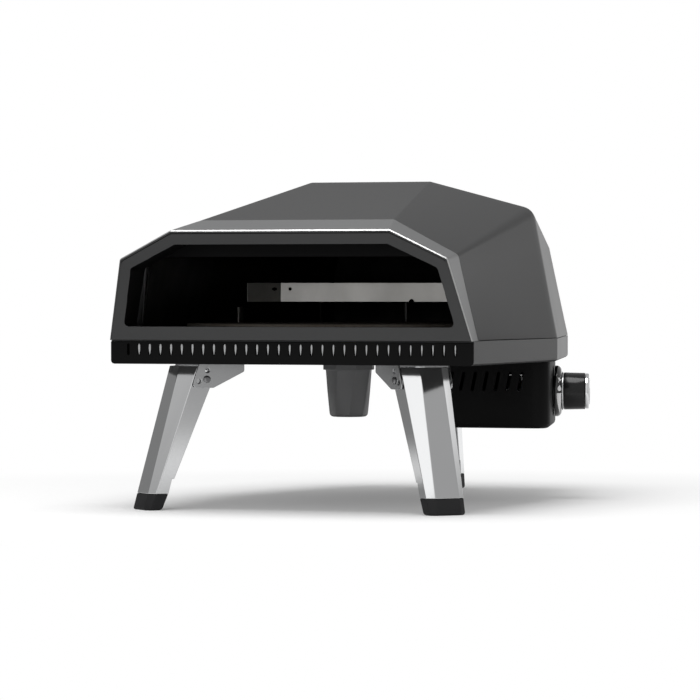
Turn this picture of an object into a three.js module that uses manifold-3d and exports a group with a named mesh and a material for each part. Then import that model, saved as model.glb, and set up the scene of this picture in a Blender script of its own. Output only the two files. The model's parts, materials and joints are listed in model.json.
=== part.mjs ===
import * as THREE from 'three';
import { mergeVertices } from 'three/addons/utils/BufferGeometryUtils.js';
import Module from 'manifold-3d';

// Portable gas pizza oven with a turning stone, on three folding legs.
// Millimetres, X to the right, Y to the rear, Z up. Sizes are read with z = 0 at the seam
// between hood and base and y = 0 at the foot of the front face; the last step moves the
// whole oven so that the middle of its box stands on the origin.

const gap = 0.3;
const runningClearance = 0.06;
const overrun = 12;
const weldDistance = 1e-4;
const sheet = 1.2;
const arcSteps = 3;
const smallSteps = 2;
const cutSteps = 1;
const longEdge = 40;
const edgeParts = 2;
const portSides = 6;
const nutSides = 6;
const pipeSides = 8;
const smallSides = 10;
const roundSides = 20;
const fineSides = 30;

// Share of depth by which the front face leans forward for each unit of height.
const leanShare = Math.tan(THREE.MathUtils.degToRad(14.5));

// The turning stone sets the size of the oven: half widths of the faces around it are read
// outwards from its edge, and depths towards the rear from its middle.
const stone = { front: 27, radius: 203, top: 19.2, thickness: 13, bevel: 1.5, room: 3 };
const stoneY = stone.front + stone.radius;

function fromStone({ y = 0, bottom, shoulder, ridge }) {
  return {
    y,
    bottom: stone.radius + bottom,
    shoulder: [stone.radius + shoulder[0], shoulder[1]],
    ridge: [stone.radius + ridge[0], ridge[1]],
  };
}

const depths = { nearRib: -110, middle: 90, guide: 150, guardWing: 180, guard: 240, rear: 400 };
const middleY = stoneY + depths.middle;
const rearY = stoneY + depths.rear;
const hood = {
  front: fromStone({ bottom: 6.4, shoulder: [-3.6, 95.3], ridge: [-74.9, 138.5] }),
  middle: fromStone({ y: middleY, bottom: 42.8, shoulder: [8.7, 163.7], ridge: [-124.1, 197] }),
  rear: fromStone({ y: rearY, bottom: -28.5, shoulder: [-54.5, 117.8], ridge: [-131, 137] }),
  shoulderRadius: 11,
  ridgeRadius: 9,
  seamDepth: 69,
  flange: 5.5,
};
const ribs = [stoneY + depths.nearRib, middleY, (middleY + rearY) / 2];
const visor = {
  front: fromStone({ bottom: 27.8, shoulder: [4.4, 97.2], ridge: [-64.35, 131] }),
  wall: 2,
  faceGap: 0.9,
  lapFront: 2.5,
  lapRear: 8,
  lapSheet: 1.2,
};
const mouth = {
  sill: 16.4,
  front: fromStone({ bottom: 7, shoulder: [-9.2, 87], ridge: [-68.4, 115.3] }),
  rear: fromStone({ bottom: 6.8, shoulder: [-5, 87], ridge: [-65, 118] }),
  rearDepth: 37,
  plate: 1.5,
  cornerRadius: 5,
};
const lining = { offset: 6.5, front: 45, blanketGap: 1 };
const lintel = { bottom: 100.7, sheet: 1.5, lap: 12, flangeSheet: 1.2 };
const base = {
  depth: 29,
  frontStep: 0.4,
  front: 6.65,
  bend: 4.4,
  flange: 9,
  deck: 1.6,
};
const baseHalf = visor.front.bottom - base.frontStep;
const vent = {
  front: 5.15,
  top: -1.9,
  sheet: 1.2,
  count: 31,
  side: 22.8,
  slotWidth: 3.2,
  slotTop: -4.3,
  slotBottom: -18.1,
  baffleFront: 15,
  baffleFoot: 14,
  baffleSide: 4.4,
  baffleTop: -4,
};

const carrier = { radius: 160, plate: 2.2, hubRadius: 14, holes: 6, holeRadius: 26, holeCircle: 92 };
const shaft = { radius: 5, bottom: -38, bushRadius: 9, bushFlange: 13, bushBottom: -9, flangeSheet: 1.7 };
const bushTop = gap + shaft.flangeSheet;
const motor = {
  flangeRadius: 21,
  flange: 2,
  gearRadius: 18,
  gearBottom: -62,
  canRadius: 15,
  canBottom: -84,
  bossRadius: 8,
  bossTop: -24,
};
const housing = {
  sides: 8,
  collarRadius: 33.4,
  collarBottom: -39,
  topRadius: 30.2,
  bottomRadius: 24.3,
  bottom: -98,
  bottomBend: 5,
  wall: 2,
  firstCorner: -10,
  twist: -16,
};


// Half width of the hood between its foot and its shoulder.
function hoodHalf(depth, height) {
  const [near, far] = depth < middleY ? [hood.front, hood.middle] : [hood.middle, hood.rear];
  const [nearHalf, farHalf] = [near, far].map(
    ({ bottom, shoulder }) => bottom + ((shoulder[0] - bottom) * height) / shoulder[1],
  );
  return nearHalf + ((farHalf - nearHalf) * (depth - near.y)) / (far.y - near.y);
}

const guard = {
  foldInset: 21.3,
  tipInset: 10.3,
  bottom: 45,
  top: 70,
  sheet: 1.2,
  holeRadius: 2,
  holeHeight: 61.8,
  holeFromFold: 13,
  notchX: 6.4,
  notchRadius: 3.5,
};
const guardY = stoneY + depths.guard;
const guardTipY = stoneY + depths.guardWing;
const guardHalf = hoodHalf(guardY, guard.top) - guard.foldInset;
const burner = {
  behindGuard: 40,
  endInset: 9,
  z: 55,
  radius: 11,
  wall: 1.4,
  ports: 15,
  portPitch: 20,
  portRadius: 1.6,
};
const burnerY = guardY + burner.behindGuard;
const burnerHalf = guardHalf - burner.endInset;
const burnerMount = { inset: 46, behindBurner: 16, sheet: 2, top: 69, foot: 14 };
const stoneGuide = { inset: 5, width: 18, sheet: 2, top: 38.5, foot: 15 };
const igniter = { x: -6.5, behindGuard: 17, radius: 3.2, top: 44, pinRadius: 1.1, pinTop: 52 };

const box = {
  width: 156.17,
  beforeMiddle: 20,
  depth: 165,
  bottom: -113,
  sideInset: 9.247,
  sideTurn: 13,
  edgeRadius: 19,
  cornerRadius: 4,
  bend: 6,
  wall: 1.5,
};
const sideAngle = THREE.MathUtils.degToRad(box.sideTurn);
const boxFront = middleY - box.beforeMiddle;
const boxRear = boxFront + box.depth;
const boxSideX = hood.middle.bottom - box.sideInset + box.beforeMiddle * Math.tan(sideAngle);
const boxLeft = boxSideX - box.width;
const boxSlots = {
  count: 8,
  fromLeft: 12.1,
  pitch: 15.2,
  top: -42,
  bottom: -66,
  lean: 5,
  width: 4.2,
  endRadius: 1.4,
};
const controls = { behindFront: 120, z: -68.5 };
const bezel = {
  radius: 33.65,
  standOff: 1.8,
  rim: 6.5,
  face: 8.8,
  bossRadius: 20,
  recessDepth: 4,
  boreRadius: 5,
};
const knob = {
  gap: 1,
  radius: 23.25,
  endRadius: 22.2,
  skirt: 23.7,
  cap: 5.2,
  capRadius: 21.6,
  capEdge: 2.4,
  wall: 3,
  capShares: [0.75, 0.4],
  crown: 5,
  hubRadius: 8,
};
const stem = { radius: 4, neckRadius: 3, shoulder: -10.7, end: -20, insideKnob: 31.4 };
const valve = { radius: 13, chamberRadius: 8, chamberFront: -8, chamberRear: -28, end: -43 };
const plunger = { radius: 7.4, sheet: 3 };
const pipe = { radius: 4, holeRadius: 8, pathShares: [0.25, 0.8], gasSteps: 20, supplySteps: 12 };
const inlet = {
  fromLeft: 27,
  z: -84,
  radius: 6.5,
  bore: 3,
  nutRadius: 11,
  nut: 8,
  length: 26,
  tail: 9,
  holeRadius: 7,
};
const inletX = boxLeft + inlet.fromLeft;
const rocker = {
  fromLeft: 65,
  z: -62,
  width: 12,
  height: 20,
  depth: 10,
  rise: 2.5,
  body: 17,
  footShare: 0.33,
};
const rockerX = boxLeft + rocker.fromLeft;
const module = { fromLeft: 43, behindFront: 50, width: 34, length: 58, height: 22, bevel: 2 };

// Heights of a leg and its bracket are read from the underside of the base.
const leg = {
  sideInset: 36.05,
  frontInset: 11.51,
  rearStep: 24.5,
  topZ: -3,
  footZ: -158,
  groundZ: -178,
  pivotZ: -19,
  bracketZ: -71,
  pivotR: -70.5,
  splay: 0.276,
  webHalf: 16,
  webGrowth: -0.0111,
  half: 25.2,
  halfGrowth: 0.0462,
  bevel: 6.8,
  bevelGrowth: 0.062,
  flange: 23.6,
  flangeGrowth: 0.1364,
  sheet: 1.9,
  headRadius: 16,
  notchZ: -140,
  notch: 3,
};
const foot = { tongue: 24, bend: 3 };
const pin = { radius: 3, headRadius: 4.65, crownRadius: 2.8, head: 2.2 };
const lock = {
  circle: 11,
  angle: 94,
  foldedAngle: -11.4,
  radius: 3.2,
  crownRadius: 1.9,
  crown: 0.8,
  crownEdge: 0.3,
  collarRadius: 5,
  collar: 1.6,
  length: 7,
};
const bracket = {
  sheet: 1.8,
  side: 33,
  outerTop: -60,
  outerBottom: -50.5,
  bottom: -29.6,
  slant: -79.5,
  inner: -121,
  innerBottom: -10,
  radii: [0, 5, 4, 3, 0],
};
const legX = baseHalf - leg.sideInset;
const legY = base.front + leg.frontInset;
const legPlaces = [
  { name: 'left', x: -legX, y: legY, turn: -135, buttonSide: 1 },
  { name: 'right', x: legX, y: legY, turn: -45, buttonSide: -1 },
  { name: 'rear', x: 0, y: rearY + leg.rearStep, turn: 90, buttonSide: -1 },
];

const wasm = await Module();
wasm.setup();

const painted = { color: 0x54565a, roughness: 0.45, metalness: 0.25 };
const darkPaint = { color: 0x1d1e20, roughness: 0.5, metalness: 0.2 };
const steel = { color: 0xa9adb1, roughness: 0.35, metalness: 0.95 };
const aluminium = { color: 0xb9bcc0, roughness: 0.5, metalness: 0.9 };
const stoneware = { color: 0xb9ac98, roughness: 0.9, metalness: 0 };
const rubber = { color: 0x161718, roughness: 0.85, metalness: 0 };
const plastic = { color: 0x111213, roughness: 0.35, metalness: 0 };
const chrome = { color: 0xd8dbde, roughness: 0.12, metalness: 1 };
const brass = { color: 0xb08d4a, roughness: 0.35, metalness: 0.95 };
const ceramic = { color: 0xe4e0d6, roughness: 0.5, metalness: 0 };
const wool = { color: 0xd9d2c2, roughness: 1, metalness: 0 };

const oven = new THREE.Group();

function addPiece(name, geometry, finish, parent = oven) {
  const mesh = new THREE.Mesh(geometry, new THREE.MeshStandardMaterial(finish));
  mesh.name = name;
  parent.add(mesh);
  return mesh;
}

function solid(geometry) {
  const merged = mergeVertices(bareOf(geometry), weldDistance);
  return new wasm.Manifold(
    new wasm.Mesh({
      numProp: 3,
      vertProperties: new Float32Array(merged.attributes.position.array),
      triVerts: new Uint32Array(merged.index.array),
    }),
  );
}

function geometryOf(manifold) {
  const mesh = manifold.getMesh();
  const geometry = new THREE.BufferGeometry();
  geometry.setAttribute('position', new THREE.BufferAttribute(new Float32Array(mesh.vertProperties), 3));
  geometry.setIndex(new THREE.BufferAttribute(new Uint32Array(mesh.triVerts), 1));
  geometry.computeVertexNormals();
  return geometry;
}

function flat(x, y) {
  return new THREE.Vector2(x, y);
}

function place(x, y, z) {
  return new THREE.Vector3(x, y, z);
}

// Moves each edge of an outline inwards; the outline runs counter-clockwise.
function inset(corners, distances) {
  const by = (i) => (Array.isArray(distances) ? distances[i] : distances);
  const lines = corners.map((corner, i) => {
    const along = corners[(i + 1) % corners.length].clone().sub(corner).normalize();
    const inward = flat(-along.y, along.x);
    return { at: corner.clone().addScaledVector(inward, by(i)), along };
  });
  return lines.map((line, i) => {
    const last = lines.at(i - 1);
    const between = line.at.clone().sub(last.at);
    const share = between.cross(line.along) / last.along.cross(line.along);
    return last.at.clone().addScaledVector(last.along, share);
  });
}

// Rounds the corners of an outline, each with its own radius; zero leaves a sharp corner.
function rounded(corners, radii, steps = arcSteps) {
  return corners.flatMap((corner, i) => {
    if (radii[i] === 0) return [corner.clone()];
    const toLast = corners.at(i - 1).clone().sub(corner).normalize();
    const toNext = corners[(i + 1) % corners.length].clone().sub(corner).normalize();
    const half = Math.acos(toLast.dot(toNext)) / 2;
    const centre = toLast.clone().add(toNext).setLength(radii[i] / Math.sin(half)).add(corner);
    const reach = radii[i] / Math.tan(half);
    const start = toLast.multiplyScalar(reach).add(corner).sub(centre);
    const end = toNext.multiplyScalar(reach).add(corner).sub(centre);
    const turn = Math.atan2(start.cross(end), start.dot(end));
    return Array.from({ length: steps + 1 }, (_, step) =>
      start.clone().rotateAround(flat(0, 0), (turn * step) / steps).add(centre),
    );
  });
}

// Splits the long edges of an outline, so that a twisted side follows its true surface.
function divided(outline) {
  return outline.flatMap((point, i) => {
    const next = outline[(i + 1) % outline.length];
    const parts = point.distanceTo(next) > longEdge ? edgeParts : 1;
    return Array.from({ length: parts }, (_, part) => point.clone().lerp(next, part / parts));
  });
}

// A closed body through outlines with equal numbers of points. Each end is closed by a fan
// about its middle, so an end must be seen whole from there.
function loft(outlines) {
  const count = outlines[0].length;
  const last = (outlines.length - 1) * count;
  const points = outlines.flat();
  const middles = [outlines[0], outlines.at(-1)].map((outline) =>
    outline.reduce((sum, point) => sum.add(point), place(0, 0, 0)).divideScalar(count),
  );
  const [firstMiddle, lastMiddle] = [points.length, points.length + 1];
  points.push(...middles);
  const triangles = [];
  for (let i = 0; i < count; i++) {
    const next = (i + 1) % count;
    for (let ring = 0; ring < last; ring += count) {
      triangles.push([ring + i, ring + next, ring + count + next]);
      triangles.push([ring + i, ring + count + next, ring + count + i]);
    }
    triangles.push([firstMiddle, next, i]);
    triangles.push([lastMiddle, last + i, last + next]);
  }
  const volume = triangles.reduce(
    (sum, [a, b, c]) => sum + points[a].dot(points[b].clone().cross(points[c])),
    0,
  );
  const outward = volume > 0 ? triangles : triangles.map((triangle) => [...triangle].reverse());
  const geometry = new THREE.BufferGeometry();
  geometry.setAttribute('position', new THREE.Float32BufferAttribute(points.flatMap((p) => p.toArray()), 3));
  geometry.setIndex(outward.flat());
  geometry.computeVertexNormals();
  return geometry;
}

// A plate cut to an outline, standing off the XY plane by the given thickness.
function plate(outline, thickness) {
  return new THREE.ExtrudeGeometry(new THREE.Shape(outline), { depth: thickness, bevelEnabled: false });
}

// The same plate with its outline read as X and Z, from the near to the far Y.
function uprightPlate(outline, near, far) {
  return plate(outline, far - near).rotateX(Math.PI / 2).translate(0, far, 0);
}

// The same plate with its outline read as Y and Z, from the low to the high X.
function sidePlate(outline, low, high) {
  return plate(outline, high - low).rotateX(Math.PI / 2).rotateZ(Math.PI / 2).translate(low, 0, 0);
}

function block(low, high) {
  const size = high.clone().sub(low);
  const middle = low.clone().add(high).divideScalar(2);
  return new THREE.BoxGeometry(...size.toArray()).translate(...middle.toArray());
}

function rectangle(low, high) {
  return [flat(low.x, low.y), flat(high.x, low.y), flat(high.x, high.y), flat(low.x, high.y)];
}

// A turned piece about the Z axis; each pair is a radius and a height.
function turned(pairs, segments) {
  const points = pairs.map(([radius, height]) => flat(radius, height));
  if (pairs[0][0] > 0) points.push(points[0].clone());
  const geometry = new THREE.LatheGeometry(points, segments).rotateX(Math.PI / 2);
  return facingOut(geometry);
}

// Merges a turned surface, drops its flat triangles and turns it outwards.
function facingOut(geometry) {
  const merged = mergeVertices(bareOf(geometry), weldDistance);
  const index = Array.from(merged.index.array);
  const corners = (i) => place(0, 0, 0).fromBufferAttribute(merged.attributes.position, index[i]);
  let volume = 0;
  const kept = [];
  for (let i = 0; i < index.length; i += 3) {
    if (new Set(index.slice(i, i + 3)).size < 3) continue;
    volume += corners(i).dot(corners(i + 1).cross(corners(i + 2)));
    kept.push(index.slice(i, i + 3));
  }
  merged.setIndex((volume > 0 ? kept : kept.map((triangle) => triangle.reverse())).flat());
  merged.computeVertexNormals();
  return merged;
}

function bareOf(geometry) {
  const bare = geometry.clone();
  bare.deleteAttribute('normal');
  bare.deleteAttribute('uv');
  return bare;
}

// A bore whose flats stay outside the given radius.
function bore(radius, low, high, segments = roundSides) {
  const outer = radius / Math.cos(Math.PI / segments);
  return new THREE.CylinderGeometry(outer, outer, high - low, segments)
    .rotateX(Math.PI / 2)
    .translate(0, 0, (high + low) / 2);
}

// Hood outline in the XZ plane at one station, drawn in by a skin and let down at the foot.
function hoodCorners(station, skin, drop) {
  const [shoulderX, shoulderZ] = station.shoulder;
  const [ridgeX, ridgeZ] = station.ridge;
  const corners = [
    flat(-station.bottom, 0),
    flat(station.bottom, 0),
    flat(shoulderX, shoulderZ),
    flat(ridgeX, ridgeZ),
    flat(-ridgeX, ridgeZ),
    flat(-shoulderX, shoulderZ),
  ];
  const drawnIn = inset(corners, [-drop, skin, skin, skin, skin, skin]);
  const shoulder = Math.max(hood.shoulderRadius - skin, skin);
  const ridge = Math.max(hood.ridgeRadius - skin, skin);
  return divided(rounded(drawnIn, [0, 0, shoulder, ridge, ridge, shoulder]));
}

// Hood outline on a plane at the given depth, upright or leaning with the front face.
function hoodSection(depth, lean, skin, drop) {
  const [near, far] = depth < middleY ? [hood.front, hood.middle] : [hood.middle, hood.rear];
  const nearPoints = hoodCorners(near, skin, drop).map((p) => place(p.x, near.y, p.y));
  const farPoints = hoodCorners(far, skin, drop).map((p) => place(p.x, far.y, p.y));
  return nearPoints.map((point, i) => {
    const along = farPoints[i].clone().sub(point);
    const share = (depth - lean * point.z - point.y) / (along.y + lean * along.z);
    return point.clone().addScaledVector(along, share);
  });
}

// A closed body of the hood's form from some front depths, which share a lean, to a rear depth.
function hoodForm(fronts, lean, rear, skin, drop) {
  return solid(
    loft([
      ...fronts.map((depth) => hoodSection(depth, lean, skin, drop)),
      ...[...ribs, rear].map((depth) => hoodSection(depth, 0, skin, drop)),
    ]),
  );
}

function hoodShell() {
  const front = hood.seamDepth + gap;
  const fronts = [front, hood.seamDepth + visor.lapRear + gap];
  const openFronts = [front - overrun, ...fronts];
  const outer = hoodForm(fronts, leanShare, rearY, 0, 0);
  const hollow = hoodForm(openFronts, leanShare, rearY - sheet, sheet, -sheet);
  const flangeOpening = hoodForm(openFronts, leanShare, rearY - hood.flange, hood.flange, overrun);
  return geometryOf(outer.subtract(hollow).subtract(flangeOpening));
}

function insulation() {
  const skin = sheet + lining.blanketGap;
  const innerSkin = lining.offset - lining.blanketGap;
  const foot = -(sheet + lining.blanketGap);
  const front = hood.seamDepth + 2 * visor.lapRear;
  const outer = hoodForm([front], leanShare, rearY - skin, skin, foot);
  const hollow = hoodForm([front - overrun, front], leanShare, rearY - innerSkin, innerSkin, overrun);
  return geometryOf(outer.subtract(hollow));
}

function innerLiner() {
  const rear = rearY - lining.offset;
  const outer = hoodForm([lining.front], 0, rear, lining.offset, -gap);
  const skin = lining.offset + sheet;
  const hollow = hoodForm([lining.front - overrun, lining.front], 0, rear - sheet, skin, overrun);
  return geometryOf(outer.subtract(hollow));
}

// Outline of the visor, the front face or the mouth from its three named corners.
function faceOutline(corners, foot, skin, radius, bottomRadius = 0) {
  const outline = [
    flat(-corners.bottom, foot),
    flat(corners.bottom, foot),
    flat(...corners.shoulder),
    flat(...corners.ridge),
    flat(-corners.ridge[0], corners.ridge[1]),
    flat(-corners.shoulder[0], corners.shoulder[1]),
  ];
  const radii = [bottomRadius, bottomRadius, radius, radius, radius, radius];
  return divided(rounded(inset(outline, skin), radii));
}

// An outline read as X and Z laid on the leaning plane that passes the given depth.
function leaning(outline, depth) {
  return outline.map((point) => place(point.x, depth - leanShare * point.y, point.y));
}

function upright(outline, depth) {
  return outline.map((point) => place(point.x, depth, point.y));
}

function between(near, far, share) {
  return near.map((point, i) => point.clone().lerp(far[i], share));
}

function visorBand() {
  const skins = (skin, drop) => [-drop, skin, skin, skin, skin, skin];
  const front = (skin, drop) =>
    leaning(faceOutline(visor.front, 0, skins(skin, drop), hood.shoulderRadius - skin), 0);
  const rear = (skin, drop) => hoodSection(hood.seamDepth, leanShare, skin, drop);
  const outer = solid(loft([front(0, 0), rear(0, 0)]));
  const reach = overrun / hood.seamDepth;
  const [innerFront, innerRear] = [front(visor.wall, overrun), rear(visor.wall, overrun)];
  const hollow = solid(
    loft([between(innerFront, innerRear, -reach), between(innerFront, innerRear, 1 + reach)]),
  );
  const lapFront = hood.seamDepth - visor.lapFront;
  const lapRear = hood.seamDepth + visor.lapRear;
  const lapSkin = sheet + gap;
  const foot = -(sheet + gap);
  const lap = solid(
    loft([hoodSection(lapFront, leanShare, lapSkin, foot), hoodSection(lapRear, leanShare, lapSkin, foot)]),
  );
  const innerSkin = lapSkin + visor.lapSheet;
  const lapHollow = solid(
    loft([
      hoodSection(lapFront - overrun, leanShare, innerSkin, overrun),
      hoodSection(lapRear + overrun, leanShare, innerSkin, overrun),
    ]),
  );
  return geometryOf(outer.subtract(hollow).add(lap.subtract(lapHollow)));
}

function frontFascia() {
  const skin = visor.wall + visor.faceGap;
  const face = faceOutline(visor.front, 0, [gap, skin, skin, skin, skin, skin], hood.shoulderRadius - skin);
  const plateBody = solid(loft([leaning(face, 0), leaning(face, mouth.plate)]));
  const opening = (skinOut, corners) =>
    faceOutline(corners, mouth.sill, -skinOut, mouth.cornerRadius + skinOut, mouth.cornerRadius + skinOut);
  const tunnel = (skinOut) => [
    leaning(opening(skinOut, mouth.front), 0),
    upright(opening(skinOut, mouth.rear), mouth.rearDepth - gap),
  ];
  const outerTunnel = solid(loft(tunnel(mouth.plate)));
  const [hollowFront, hollowRear] = tunnel(0);
  const reach = overrun / mouth.rearDepth;
  const hollow = solid(
    loft([between(hollowFront, hollowRear, -reach), between(hollowFront, hollowRear, 1 + reach)]),
  );
  const stoneSweep = stone.radius + stone.room;
  const stoneRoom = solid(bore(stoneSweep, 0, mouth.sill + overrun, 2 * fineSides).translate(0, stoneY, 0));
  const behindFace = solid(
    block(
      place(-visor.front.bottom, mouth.plate + gap, -overrun),
      place(visor.front.bottom, stoneY, mouth.sill + mouth.cornerRadius),
    ),
  );
  const body = plateBody.add(outerTunnel).subtract(hollow).subtract(stoneRoom.intersect(behindFace));
  return geometryOf(body);
}

function mouthLintel() {
  const rear = mouth.rearDepth + lintel.sheet;
  const face = (skin, drop, near, far) =>
    solid(loft([hoodSection(near, 0, skin, drop), hoodSection(far, 0, skin, drop)]));
  const lapSkin = lining.offset + sheet + gap;
  const panel = face(lining.offset, 0, mouth.rearDepth, rear);
  const lap = face(lapSkin, 0, rear - gap, rear + lintel.lap);
  const innerSkin = lapSkin + lintel.flangeSheet;
  const lapHollow = face(innerSkin, overrun, rear, rear + lintel.lap + overrun);
  const above = solid(
    block(
      place(-hood.middle.bottom, 0, lintel.bottom),
      place(hood.middle.bottom, middleY, hood.middle.ridge[1]),
    ),
  );
  return geometryOf(panel.add(lap).subtract(lapHollow).intersect(above));
}

// Plan of the base with its edges drawn in by the given amounts.
function basePlan(skin, frontSkin) {
  const corners = [
    flat(-baseHalf, base.front),
    flat(baseHalf, base.front),
    flat(hood.middle.bottom, middleY),
    flat(hood.rear.bottom, rearY),
    flat(-hood.rear.bottom, rearY),
    flat(-hood.middle.bottom, middleY),
  ];
  return inset(corners, [frontSkin, skin, skin, skin, skin, skin]);
}

function level(outline, z) {
  return outline.map((point) => place(point.x, point.y, z));
}

// Outlines of a tray's outer or inner form, with a rounded bend at the bottom.
function bentFloor(outlineAt, bottom, bend) {
  return Array.from({ length: arcSteps + 1 }, (_, step) => {
    const angle = (Math.PI / 2) * (step / arcSteps);
    return level(outlineAt(bend * (1 - Math.sin(angle))), bottom + bend * (1 - Math.cos(angle)));
  });
}

function boreAt(x, y, radius, low, high, segments = roundSides) {
  return solid(bore(radius, low, high, segments).translate(x, y, 0));
}

function baseTray() {
  const outer = [...bentFloor((skin) => basePlan(skin, 0), -base.depth, base.bend), level(basePlan(0, 0), 0)];
  const shelf = -(base.deck + gap);
  const cavity = [
    ...bentFloor((skin) => basePlan(sheet + skin, -overrun), sheet - base.depth, base.bend - sheet),
    level(basePlan(sheet, -overrun), shelf - sheet),
  ];
  const opening = basePlan(base.flange, -overrun);
  const recess = basePlan(sheet, -overrun);
  const body = solid(loft(outer))
    .subtract(solid(loft(cavity)))
    .subtract(solid(loft([level(opening, shelf - overrun), level(opening, overrun)])))
    .subtract(solid(loft([level(recess, shelf), level(recess, overrun)])))
    .subtract(boreAt(0, stoneY, motor.bossRadius + gap, -base.depth - overrun, 0))
    .subtract(boreAt(pipeFoot.x, pipeFoot.y, pipe.holeRadius, -base.depth - overrun, 0));
  return geometryOf(body);
}

function deckPlate() {
  const plan = basePlan(sheet + gap, 0);
  const body = solid(loft([level(plan, -base.deck), level(plan, 0)]))
    .subtract(boreAt(0, stoneY, shaft.bushRadius + gap, -overrun, overrun))
    .subtract(boreAt(pipeTop.x, pipeTop.y, pipe.holeRadius, -overrun, overrun));
  return geometryOf(body);
}

function ventPanel() {
  const outline = rounded(
    rectangle(flat(-baseHalf, -base.depth), flat(baseHalf, vent.top)),
    [base.bend, base.bend, 0, 0],
  );
  const panel = new THREE.Shape(outline);
  const half = vent.slotWidth / 2;
  const pitch = (2 * (baseHalf - vent.side)) / (vent.count - 1);
  for (let i = 0; i < vent.count; i++) {
    const x = (i - (vent.count - 1) / 2) * pitch;
    const slot = rectangle(flat(x - half, vent.slotBottom), flat(x + half, vent.slotTop));
    const corner = half / 2;
    panel.holes.push(new THREE.Path(rounded(slot, [corner, corner, corner, corner], cutSteps).reverse()));
  }
  return new THREE.ExtrudeGeometry(panel, { depth: vent.sheet, bevelEnabled: false })
    .rotateX(Math.PI / 2)
    .translate(0, vent.front + vent.sheet, 0);
}

function ventBaffle() {
  const floor = sheet - base.depth + gap;
  const rear = vent.baffleFront + vent.baffleFoot;
  const profile = [
    flat(vent.baffleFront, floor),
    flat(rear, floor),
    flat(rear, floor + sheet),
    flat(vent.baffleFront + sheet, floor + sheet),
    flat(vent.baffleFront + sheet, vent.baffleTop),
    flat(vent.baffleFront, vent.baffleTop),
  ];
  const half = baseHalf - vent.baffleSide;
  return sidePlate(profile, -half, half);
}

function pizzaStone() {
  const bottom = stone.top - stone.thickness;
  return turned(
    [
      [0, bottom],
      [stone.radius - stone.bevel, bottom],
      [stone.radius, bottom + stone.bevel],
      [stone.radius, stone.top - stone.bevel],
      [stone.radius - stone.bevel, stone.top],
      [0, stone.top],
    ],
    2 * fineSides,
  ).translate(0, stoneY, 0);
}

function stoneCarrier() {
  const top = stone.top - stone.thickness - gap;
  const bottom = top - carrier.plate;
  const hubBottom = bushTop + gap;
  let body = solid(
    turned(
      [
        [0, top],
        [carrier.radius, top],
        [carrier.radius, bottom],
        [carrier.hubRadius, bottom],
        [carrier.hubRadius, hubBottom],
        [0, hubBottom],
      ],
      2 * roundSides,
    ),
  ).subtract(solid(bore(shaft.radius + gap / 2, -overrun, overrun)));
  for (let i = 0; i < carrier.holes; i++) {
    const hole = bore(carrier.holeRadius, -overrun, overrun, smallSides).translate(carrier.holeCircle, 0, 0);
    body = body.subtract(solid(hole.rotateZ((i / carrier.holes) * Math.PI * 2)));
  }
  return geometryOf(body).translate(0, stoneY, 0);
}

function driveShaft() {
  const top = stone.top - stone.thickness - gap;
  return turned([[0, shaft.bottom], [shaft.radius, shaft.bottom], [shaft.radius, top], [0, top]], roundSides)
    .translate(0, stoneY, 0);
}

function shaftBushing() {
  const inner = (shaft.radius + runningClearance) / Math.cos(Math.PI / roundSides);
  return turned(
    [
      [inner, shaft.bushBottom],
      [shaft.bushRadius, shaft.bushBottom],
      [shaft.bushRadius, gap],
      [shaft.bushFlange, gap],
      [shaft.bushFlange, bushTop],
      [inner, bushTop],
    ],
    roundSides,
  ).translate(0, stoneY, 0);
}

function gearMotor() {
  const inner = (shaft.radius + runningClearance) / Math.cos(Math.PI / roundSides);
  const under = -base.depth - gap;
  return turned(
    [
      [0, motor.canBottom],
      [motor.canRadius, motor.canBottom],
      [motor.canRadius, motor.gearBottom],
      [motor.gearRadius, motor.gearBottom],
      [motor.gearRadius, under - motor.flange],
      [motor.flangeRadius, under - motor.flange],
      [motor.flangeRadius, under],
      [motor.bossRadius, under],
      [motor.bossRadius, motor.bossTop],
      [inner, motor.bossTop],
      [inner, shaft.bottom - gap],
      [0, shaft.bottom - gap],
    ],
    roundSides,
  ).translate(0, stoneY, 0);
}

// Eight-sided cup under the base; its flutes twist as they taper.
function motorHousing() {
  const span = housing.collarBottom - housing.bottom;
  const ring = (radius, z) => {
    const share = Math.max((housing.collarBottom - z) / span, 0);
    return Array.from({ length: housing.sides }, (_, i) => {
      const corner = (i * 360) / housing.sides + housing.firstCorner + housing.twist * share;
      const angle = THREE.MathUtils.degToRad(corner);
      return place(Math.sin(angle) * radius, stoneY - Math.cos(angle) * radius, z);
    });
  };
  const top = -base.depth - gap;
  const skin = housing.wall / Math.cos(Math.PI / housing.sides);
  const bendTop = housing.bottom + housing.bottomBend;
  const form = (thin, low, high) => {
    const bend = Array.from({ length: arcSteps + 1 }, (_, step) => {
      const angle = (Math.PI / 2) * (step / arcSteps);
      const drawnIn = housing.bottomBend * (1 - Math.sin(angle));
      const rise = housing.bottomBend * (1 - Math.cos(angle));
      return ring(housing.bottomRadius - thin - drawnIn, low + rise);
    });
    const middle = (bendTop + housing.collarBottom) / 2;
    const middleRadius = (housing.bottomRadius + housing.topRadius) / 2;
    return solid(loft([...bend, ring(middleRadius - thin, middle), ring(housing.topRadius - thin, high)]));
  };
  const collar = solid(
    loft([ring(housing.collarRadius, housing.collarBottom), ring(housing.collarRadius, top)]),
  );
  const body = form(0, housing.bottom, housing.collarBottom + gap).add(collar);
  const hollow = form(skin, housing.bottom + housing.wall, top + overrun);
  return geometryOf(body.subtract(hollow));
}

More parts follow.
